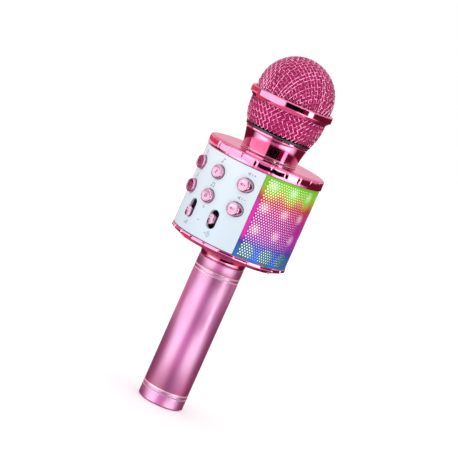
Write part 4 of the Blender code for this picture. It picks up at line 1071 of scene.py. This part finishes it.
# ---- top cover ------------------------------------------------------------------------------------
# The plated lid of the drum.  Its rim has the same 24 flats and notches, with a rounded shoulder up
# to a flat top; three screws from inside the neck collar hold it down.
top_low, top_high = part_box("top_cover")
rim_foot = skin_high.z + 0.0003
rim_head = rim_foot + 0.0052
shoulder_steps = 8
shoulder_width = 0.0043
shoulder = []
for step in range(shoulder_steps + 1):
    angle = math.pi / 2 * step / shoulder_steps
    shoulder.append((rim_radius - shoulder_width * (1 - math.cos(angle)),
                     rim_head + (top_high.z - rim_head) * math.sin(angle)))
top_cover = solid("top_cover_plated", lathe(rounded([
    (lip_radius, rim_foot), (rim_radius, rim_foot), *shoulder, (0.0095, top_high.z),
    (0.0095, top_high.z - 0.0020), (lip_bore, top_high.z - 0.0020), (lip_bore, top_low.z),
    (lip_radius, top_low.z)], 0.0004), 288, shape=notched(
        rim_radius, rim_foot + 0.0016, rim_head + 0.0010)), PINK_PLATE)
fit(top_cover, "housing", "pink_plated", "top_cover")


# ---- neck collar and capsule ----------------------------------------------------------------------
# A plated trumpet-shaped collar, screwed down through its floor, with the thread for the head in its
# mouth.  The capsule sits in a rubber cup on a moulded post that rises out of it.
neck_low, neck_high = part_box("neck_collar")
mouth_radius = neck_high.x
foot_radius = 0.0189
thread_radius = 0.0192
swell_steps = 10
swell = []
for step in range(swell_steps + 1):
    share = step / swell_steps
    swell.append((foot_radius + 0.0003 + (mouth_radius - 0.0006 - foot_radius) * share ** 1.3,
                  neck_low.z + 0.0012 + (neck_high.z - 0.0016 - neck_low.z - 0.0012) * share))
neck = solid("neck_collar_plated", lathe(rounded([
    (foot_radius + 0.0006, neck_low.z), (foot_radius + 0.0006, neck_low.z + 0.0010), *swell,
    (mouth_radius, neck_high.z - 0.0014), (mouth_radius, neck_high.z), (thread_radius, neck_high.z),
    (thread_radius, neck_low.z + 0.0080), (0.0166, neck_low.z + 0.0080), (0.0166, neck_low.z + 0.0023),
    (0.0087, neck_low.z + 0.0023), (0.0087, neck_low.z)], 0.0003), 160), PINK_PLATE)
fit(neck, "housing", "pink_plated", "neck_collar")
RUBBER = moulded("black_rubber", (0.016, 0.016, 0.017), 0.72, 1200.0)
repaint(BLACK_PLASTIC, "capsule_post")
repaint(RUBBER, "capsule_mount")
repaint(DARK_IRON, "capsule")


# ---- head: threaded foot, foam and band -----------------------------------------------------------
# The head unscrews as one.  A blackened steel ring carries the thread, a plated band joins the two halves
# of the wire mesh, and a magenta foam liner fills them to keep the breath off the capsule.
thread_low, thread_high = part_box("head_thread_ring")
flange_radius = thread_high.x
thread_pitch = 0.0015
turned_thread = [(0.0155, thread_low.z), (0.0186, thread_low.z)]
for turn in range(3):
    base = thread_low.z + 0.0004 + turn * thread_pitch
    turned_thread += [(0.0183, base), (0.0189, base + 0.0006), (0.0189, base + 0.0008),
                      (0.0183, base + 0.0014)]
flange_low = thread_high.z - 0.0010
turned_thread += [(0.0186, flange_low), (flange_radius, flange_low), (flange_radius, thread_high.z),
                  (0.0155, thread_high.z)]
thread_ring = solid("head_thread_ring_turned", lathe(turned_thread, 144), DARK_IRON)
fit(thread_ring, "head", "bright_steel", "head_thread_ring")

ring_low, ring_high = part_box("head_ring")
ring_radius = ring_high.x
ring_bore = ring_radius - 0.0021
rib_bore = ring_radius - 0.0044
ring_shape = rounded([
    (ring_bore, ring_low.z), (ring_radius - 0.0018, ring_low.z), (ring_radius, ring_low.z + 0.0022),
    (ring_radius, ring_high.z - 0.0007), (ring_radius - 0.0007, ring_high.z),
    (ring_bore, ring_high.z), (ring_bore, ring_low.z + 0.0040), (rib_bore, ring_low.z + 0.0040),
    (rib_bore, ring_low.z + 0.0025), (ring_bore, ring_low.z + 0.0025)], 0.0004)
head_ring = solid("head_ring_plated", lathe(ring_shape, 176), PINK_PLATE)
fit(head_ring, "head", "pink_plated", "head_ring")


def open_foam():
    finish = Finish("open_foam")
    cells = finish.noise(1600.0, detail=5.0)
    patches = finish.noise(140.0)
    colour = finish.blend(cells, (0.46, 0.002, 0.11), (0.84, 0.02, 0.27))
    finish.set(base_color=finish.blend(patches * 0.3, colour, (0.66, 0.02, 0.20)), roughness=0.95)
    finish.bump(cells, 0.00025, 0.9)
    return finish.material


foam_low, foam_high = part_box("foam_liner")
mesh_radius = 0.0259
dome_centre = foam_high.z - (mesh_radius - 0.0016)
foam_outer = mesh_radius - 0.0017
foam_bore = foam_outer - 0.0029
foam_curve = [(foam_outer * math.cos(math.radians(angle)),
               dome_centre + foam_outer * math.sin(math.radians(angle))) for angle in range(0, 91, 5)]
foam_inner = [(foam_bore * math.cos(math.radians(angle)),
               dome_centre + foam_bore * math.sin(math.radians(angle))) for angle in range(90, -1, -5)]
foam_curve[-1] = (0.0, foam_curve[-1][1])
foam_inner[0] = (0.0, foam_inner[0][1])
waist = 0.0235
foam_foot = 0.0208
foam = solid("foam_liner_soft", lathe(rounded([
    (foam_foot, foam_low.z + 0.0002), (foam_foot + 0.0016, foam_low.z + 0.0055),
    (foam_outer - 0.0006, foam_low.z + 0.0125), (foam_outer, ring_low.z + 0.0018),
    (waist, ring_low.z + 0.0022), (waist, ring_low.z + 0.0044), (foam_outer, ring_low.z + 0.0048)],
    0.0003) + foam_curve + foam_inner + [
    (foam_bore, foam_low.z + 0.0125), (foam_foot - 0.0012, foam_low.z + 0.0055),
    (foam_foot - 0.0029, foam_low.z + 0.0002)], 120), open_foam())
fit(foam, "head_lift", "magenta_foam", "foam_liner")


# ---- head: woven wire -----------------------------------------------------------------------------
# Both halves of the head are crimped steel wire, woven square and pressed to shape, then plated pink.
# The dome's cloth is pressed over a ball; the lower cup's wires climb round it in two directions.
def plated_wire():
    finish = Finish("plated_wire")
    smear = finish.noise(500.0)
    finish.set(base_color=finish.blend(smear, (0.70, 0.28, 0.44), (0.80, 0.38, 0.56)),
               metallic=1.0, roughness=smear * 0.1 + 0.16)
    finish.bump(smear, 0.00002, 0.3)
    return finish.material


PLATED_WIRE = plated_wire()
wire_radius = 0.00026
wire_pitch = 0.0026
cloth_radius = mesh_radius - 2 * wire_radius
dome_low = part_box("dome_mesh")[0]
dome_skirt = dome_centre - dome_low.z - wire_radius
wires_each_way = 2 * int((math.pi / 2 * cloth_radius + dome_skirt) / wire_pitch) + 1
pressing = Recipe("pressed_cloth", Wires=wires_each_way, Pitch=wire_pitch, Wire=wire_radius,
                  Radius=cloth_radius, Centre=dome_centre, Skirt=dome_skirt,
                  Turn=math.radians(-6.0))
reach = pressing.size("Pitch") * (pressing.size("Wires") - 1.0) / 2.0
first = pressing.node("ShaderNodeCombineXYZ", inputs={0: reach * -1.0})
stride = pressing.node("ShaderNodeCombineXYZ", inputs={0: pressing.size("Pitch")})
starts = pressing.add("MeshLine", inputs={
    "Count": pressing.size("Wires"), "Start Location": first, "Offset": stride})
one_wire = pressing.add("CurvePrimitiveLine", inputs={
    "Start": pressing.node("ShaderNodeCombineXYZ", inputs={1: reach * -1.0}),
    "End": pressing.node("ShaderNodeCombineXYZ", inputs={1: reach})})
one_wire = pressing.add("ResampleCurve", inputs={
    "Curve": one_wire, "Count": (pressing.size("Wires") - 1.0) * 4.0 + 1.0})
laid = pressing.add("RealizeInstances", inputs={
    0: pressing.add("InstanceOnPoints", inputs={"Points": starts, "Instance": one_wire})})
round_wire = pressing.add("CurvePrimitiveCircle", inputs={
    "Resolution": 6, "Radius": pressing.size("Wire")})
families = []
for way in (1, -1):
    x, y, z = pressing.place()
    if way < 0:
        x, y = y * -1.0, x
    over = ((x / pressing.size("Pitch") * math.pi).maths("COSINE")
            * (y / pressing.size("Pitch") * math.pi).maths("COSINE"))
    spread = (x * x + y * y + 1e-12).maths("SQRT")
    quarter = pressing.size("Radius") * (math.pi / 2)
    tilt = (spread / pressing.size("Radius")).maths("MINIMUM", math.pi / 2)
    drop = (spread - quarter).maths("MAXIMUM", 0.0)
    out = pressing.size("Radius") + over * pressing.size("Wire") * way
    turn = y.maths("ARCTAN2", x) + pressing.size("Turn")
    side = out * tilt.maths("SINE")
    beyond = spread.maths("GREATER_THAN", quarter + pressing.size("Skirt"))
    kept = pressing.add("DeleteGeometry", {"domain": "POINT"}, {"Geometry": laid, "Selection": beyond})
    bent = pressing.moved(kept, side * turn.maths("COSINE"), side * turn.maths("SINE"),
                          pressing.size("Centre") + out * tilt.maths("COSINE") - drop)
    families.append(pressing.add("CurveToMesh", inputs={
        "Curve": bent, "Profile Curve": round_wire, "Fill Caps": True}))
dome = pressing.make("dome_mesh_woven", pressing.joined(*families), PLATED_WIRE)
fit(dome, "head", "silver_mesh", "dome_mesh")

cup_low, cup_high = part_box("lower_mesh")
cup_foot = 0.0228 - 2 * wire_radius
cup_lean = 0.62
cup_wires = 46
coiling = Recipe("climbing_cloth", Wires=cup_wires, Wire=wire_radius, Radius=cloth_radius,
                 Foot=cup_foot, Bottom=cup_low.z + wire_radius, Top=cup_high.z - wire_radius,
                 Lean=cup_lean)
starts = coiling.add("MeshLine", inputs={
    "Count": coiling.size("Wires"), "Offset": (1.0, 0.0, 0.0)})
one_wire = coiling.add("ResampleCurve", inputs={
    "Curve": coiling.add("CurvePrimitiveLine", inputs={"End": (0.0, 1.0, 0.0)}), "Count": 45})
laid = coiling.add("RealizeInstances", inputs={
    0: coiling.add("InstanceOnPoints", inputs={"Points": starts, "Instance": one_wire})})
round_wire = coiling.add("CurvePrimitiveCircle", inputs={
    "Resolution": 6, "Radius": coiling.size("Wire")})
families = []
for way in (1, -1):
    number, climb, z = coiling.place()
    left = (1.0 - climb / 0.75).maths("MAXIMUM", 0.0)
    over = (climb * coiling.size("Lean") * coiling.size("Wires")).maths("COSINE")
    out = (coiling.size("Radius") - (coiling.size("Radius") - coiling.size("Foot")) * left * left
           + over * coiling.size("Wire") * way)
    turn = number * (2 * math.pi) / coiling.size("Wires") + climb * coiling.size("Lean") * way
    height = coiling.size("Bottom") + (coiling.size("Top") - coiling.size("Bottom")) * climb
    bent = coiling.moved(laid, out * turn.maths("SINE"), out * turn.maths("COSINE") * -1.0, height)
    families.append(coiling.add("CurveToMesh", inputs={
        "Curve": bent, "Profile Curve": round_wire, "Fill Caps": True}))
cup = coiling.make("lower_mesh_woven", coiling.joined(*families), PLATED_WIRE)
fit(cup, "head", "silver_mesh", "lower_mesh")


# ---- floor, light and camera ----------------------------------------------------------------------
# The microphone stands on a pale floor under a white sky.  Only glossy rays see the studio's rings of
# windows, strips and dark cards, one ring for each band of height, listed as bearings from the camera
# and tints.  The floor is one-sided and hidden from those rays, so the plated parts don't mirror it.
camera_turn = math.radians(39.0)
camera_rise = math.radians(7.8)
camera_distance = 1.30
camera_lean = math.radians(23.9)
aim = Vector((0.0, 0.0, 0.1236))
aside = Vector((math.cos(camera_turn), math.sin(camera_turn), 0.0))
out = Vector((math.sin(camera_turn) * math.cos(camera_rise),
              -math.cos(camera_turn) * math.cos(camera_rise), math.sin(camera_rise)))
aim -= aside * 0.00436
camera_data = bpy.data.cameras.new("camera")
camera_data.lens = 156.5
camera_data.sensor_width = 36.0
camera_data.clip_start = 0.01
camera = bpy.data.objects.new("camera", camera_data)
upright = out.to_track_quat("Z", "Y").to_matrix()
camera.matrix_world = Matrix.Translation(aim + out * camera_distance) @ (
    upright @ Matrix.Rotation(camera_lean, 3, "Z")).to_4x4()
bpy.context.scene.collection.objects.link(camera)
bpy.context.scene.camera = camera

pale_floor = Finish("pale_floor")
mottle = pale_floor.noise(6.0)
beneath = pale_floor.node("ShaderNodeNewGeometry", output="Backfacing")
pale_floor.set(base_color=pale_floor.blend(mottle, (0.92, 0.92, 0.92), (0.94, 0.94, 0.94)),
               roughness=0.9, alpha=1.0 - beneath, emission_color=(1.0, 1.0, 1.0, 1.0),
               emission_strength=0.18)
bm = bmesh.new()
bmesh.ops.create_circle(bm, cap_ends=True, segments=96, radius=3.0)
floor = solid("floor", bm, pale_floor.material)
floor.visible_glossy = False

bpy.context.scene.view_settings.view_transform = "Standard"
sky = bpy.data.worlds.new("studio")
bpy.context.scene.world = sky
sky.use_nodes = True
sky.node_tree.nodes.clear()
studio = Nodes(sky.node_tree)
split = studio.node("ShaderNodeSeparateXYZ", inputs={
    0: studio.node("ShaderNodeTexCoord", output="Generated")}).socket.node
east, north, high = (Value(studio, split.outputs[index]) for index in range(3))
bearing = east.maths("ARCTAN2", north * -1.0) - camera_turn
dark = (0.004, 0.001, 0.002)
dusk = (0.16, 0.014, 0.045)
ember = (0.78, 0.11, 0.18)
rose = (0.70, 0.22, 0.38)
coral = (0.75, 0.46, 0.38)
window = (1.9, 1.84, 1.9)
side_window = (2.9, 2.85, 2.9)
strip = (4.0, 3.8, 3.9)
haze = (1.25, 0.48, 1.0)
blush = (0.85, 0.12, 0.22)
pale = (1.15, 0.72, 0.85)
wide = ((-180, window), (-168, window), (-162, dusk), (-95, dusk), (-68, window), (-54, side_window),
        (-34, side_window), (-16, haze), (16, haze), (30, side_window), (56, side_window), (74, window),
        (100, dusk), (162, dusk), (168, window), (180, window))
level = ((-180, ember), (-112, ember), (-108, rose), (-102, rose), (-101, dark), (-99, dark),
         (-98, window), (-17, window), (-13, dark), (33, dark), (37, dusk), (52, dusk), (54, strip),
         (66, strip), (69, dusk), (180, dusk))
rims = ((-180, pale), (-112, pale)) + level[2:]
lowest = ((-180, blush), (-108, blush), (-104, dark), (-100, coral), (-17, coral), (-13, dark),
          (33, dark), (37, dusk), (60, dusk), (75, blush), (100, blush), (130, dusk), (165, dusk),
          (180, blush))
turned = (bearing / (2 * math.pi) + 0.5).maths("FLOORED_MODULO", 1.0)


def band(lower, upper, soft):
    """1 between two heights in the sky, with soft edges."""
    above = studio.node("ShaderNodeMapRange", inputs={
        "Value": high, "From Min": lower - soft, "From Max": lower + soft})
    below = studio.node("ShaderNodeMapRange", inputs={
        "Value": high, "From Min": upper + soft, "From Max": upper - soft})
    return above * below


crisp, hazy = 0.003, 0.02
low_height, wide_height, rim_height, ring_height = -0.78, -0.52, -0.149, -0.092
neck_foot_height, neck_height, zenith = 0.10, 0.28, 1.2
around = (0.11, 0.035, 0.06, 1.0)
for stops, share in ((level, band(rim_height, zenith, crisp)),
                     (rims, band(rim_height, ring_height, crisp)),
                     (wide, band(wide_height, rim_height, crisp)
                      + band(neck_foot_height, neck_height, crisp)),
                     (lowest, band(low_height, wide_height, hazy))):
    ring = studio.node("ShaderNodeValToRGB", {"stops": [
        ((angle + 180) / 360, tuple(part / 4 for part in tint)) for angle, tint in stops]}, {0: turned})
    around = studio.node("ShaderNodeMix", {"data_type": "RGBA"}, {0: share, 6: around, 7: ring}, 2)
overhead = studio.node("ShaderNodeMapRange", inputs={"Value": high, "From Min": 0.62, "From Max": 0.85})
behind = studio.node("ShaderNodeMapRange", inputs={
    "Value": bearing.maths("COSINE"), "From Min": -0.1, "From Max": -0.5})
raised = studio.node("ShaderNodeMapRange", inputs={"Value": high, "From Min": 0.0, "From Max": 0.05})
lit_above = studio.node("ShaderNodeMix", {"data_type": "RGBA"}, {
    0: behind * raised, 6: around, 7: (0.22, 0.115, 0.145, 1.0)}, 2)
mirrored = studio.node("ShaderNodeMix", {"data_type": "RGBA"}, {
    0: overhead, 6: lit_above, 7: (0.28, 0.27, 0.28, 1.0)}, 2)
paths = studio.tree.nodes.new("ShaderNodeLightPath")
glossy = Value(studio, paths.outputs["Is Glossy Ray"])
diffuse = Value(studio, paths.outputs["Is Diffuse Ray"])
soft = studio.node("ShaderNodeMapRange", inputs={
    "Value": high, "From Min": -0.4, "From Max": 0.6, "To Min": 0.60, "To Max": 1.05})
colour = studio.node("ShaderNodeMix", {"data_type": "RGBA"}, {
    0: glossy, 6: (1.0, 1.0, 1.0, 1.0), 7: mirrored}, 2)
strength = glossy * 4.0 + diffuse * soft + (1.0 - glossy) * (1.0 - diffuse)
backdrop = studio.node("ShaderNodeBackground", inputs={"Color": colour, "Strength": strength})
world_out = studio.tree.nodes.new("ShaderNodeOutputWorld")
studio.tree.links.new(backdrop.socket, world_out.inputs["Surface"])
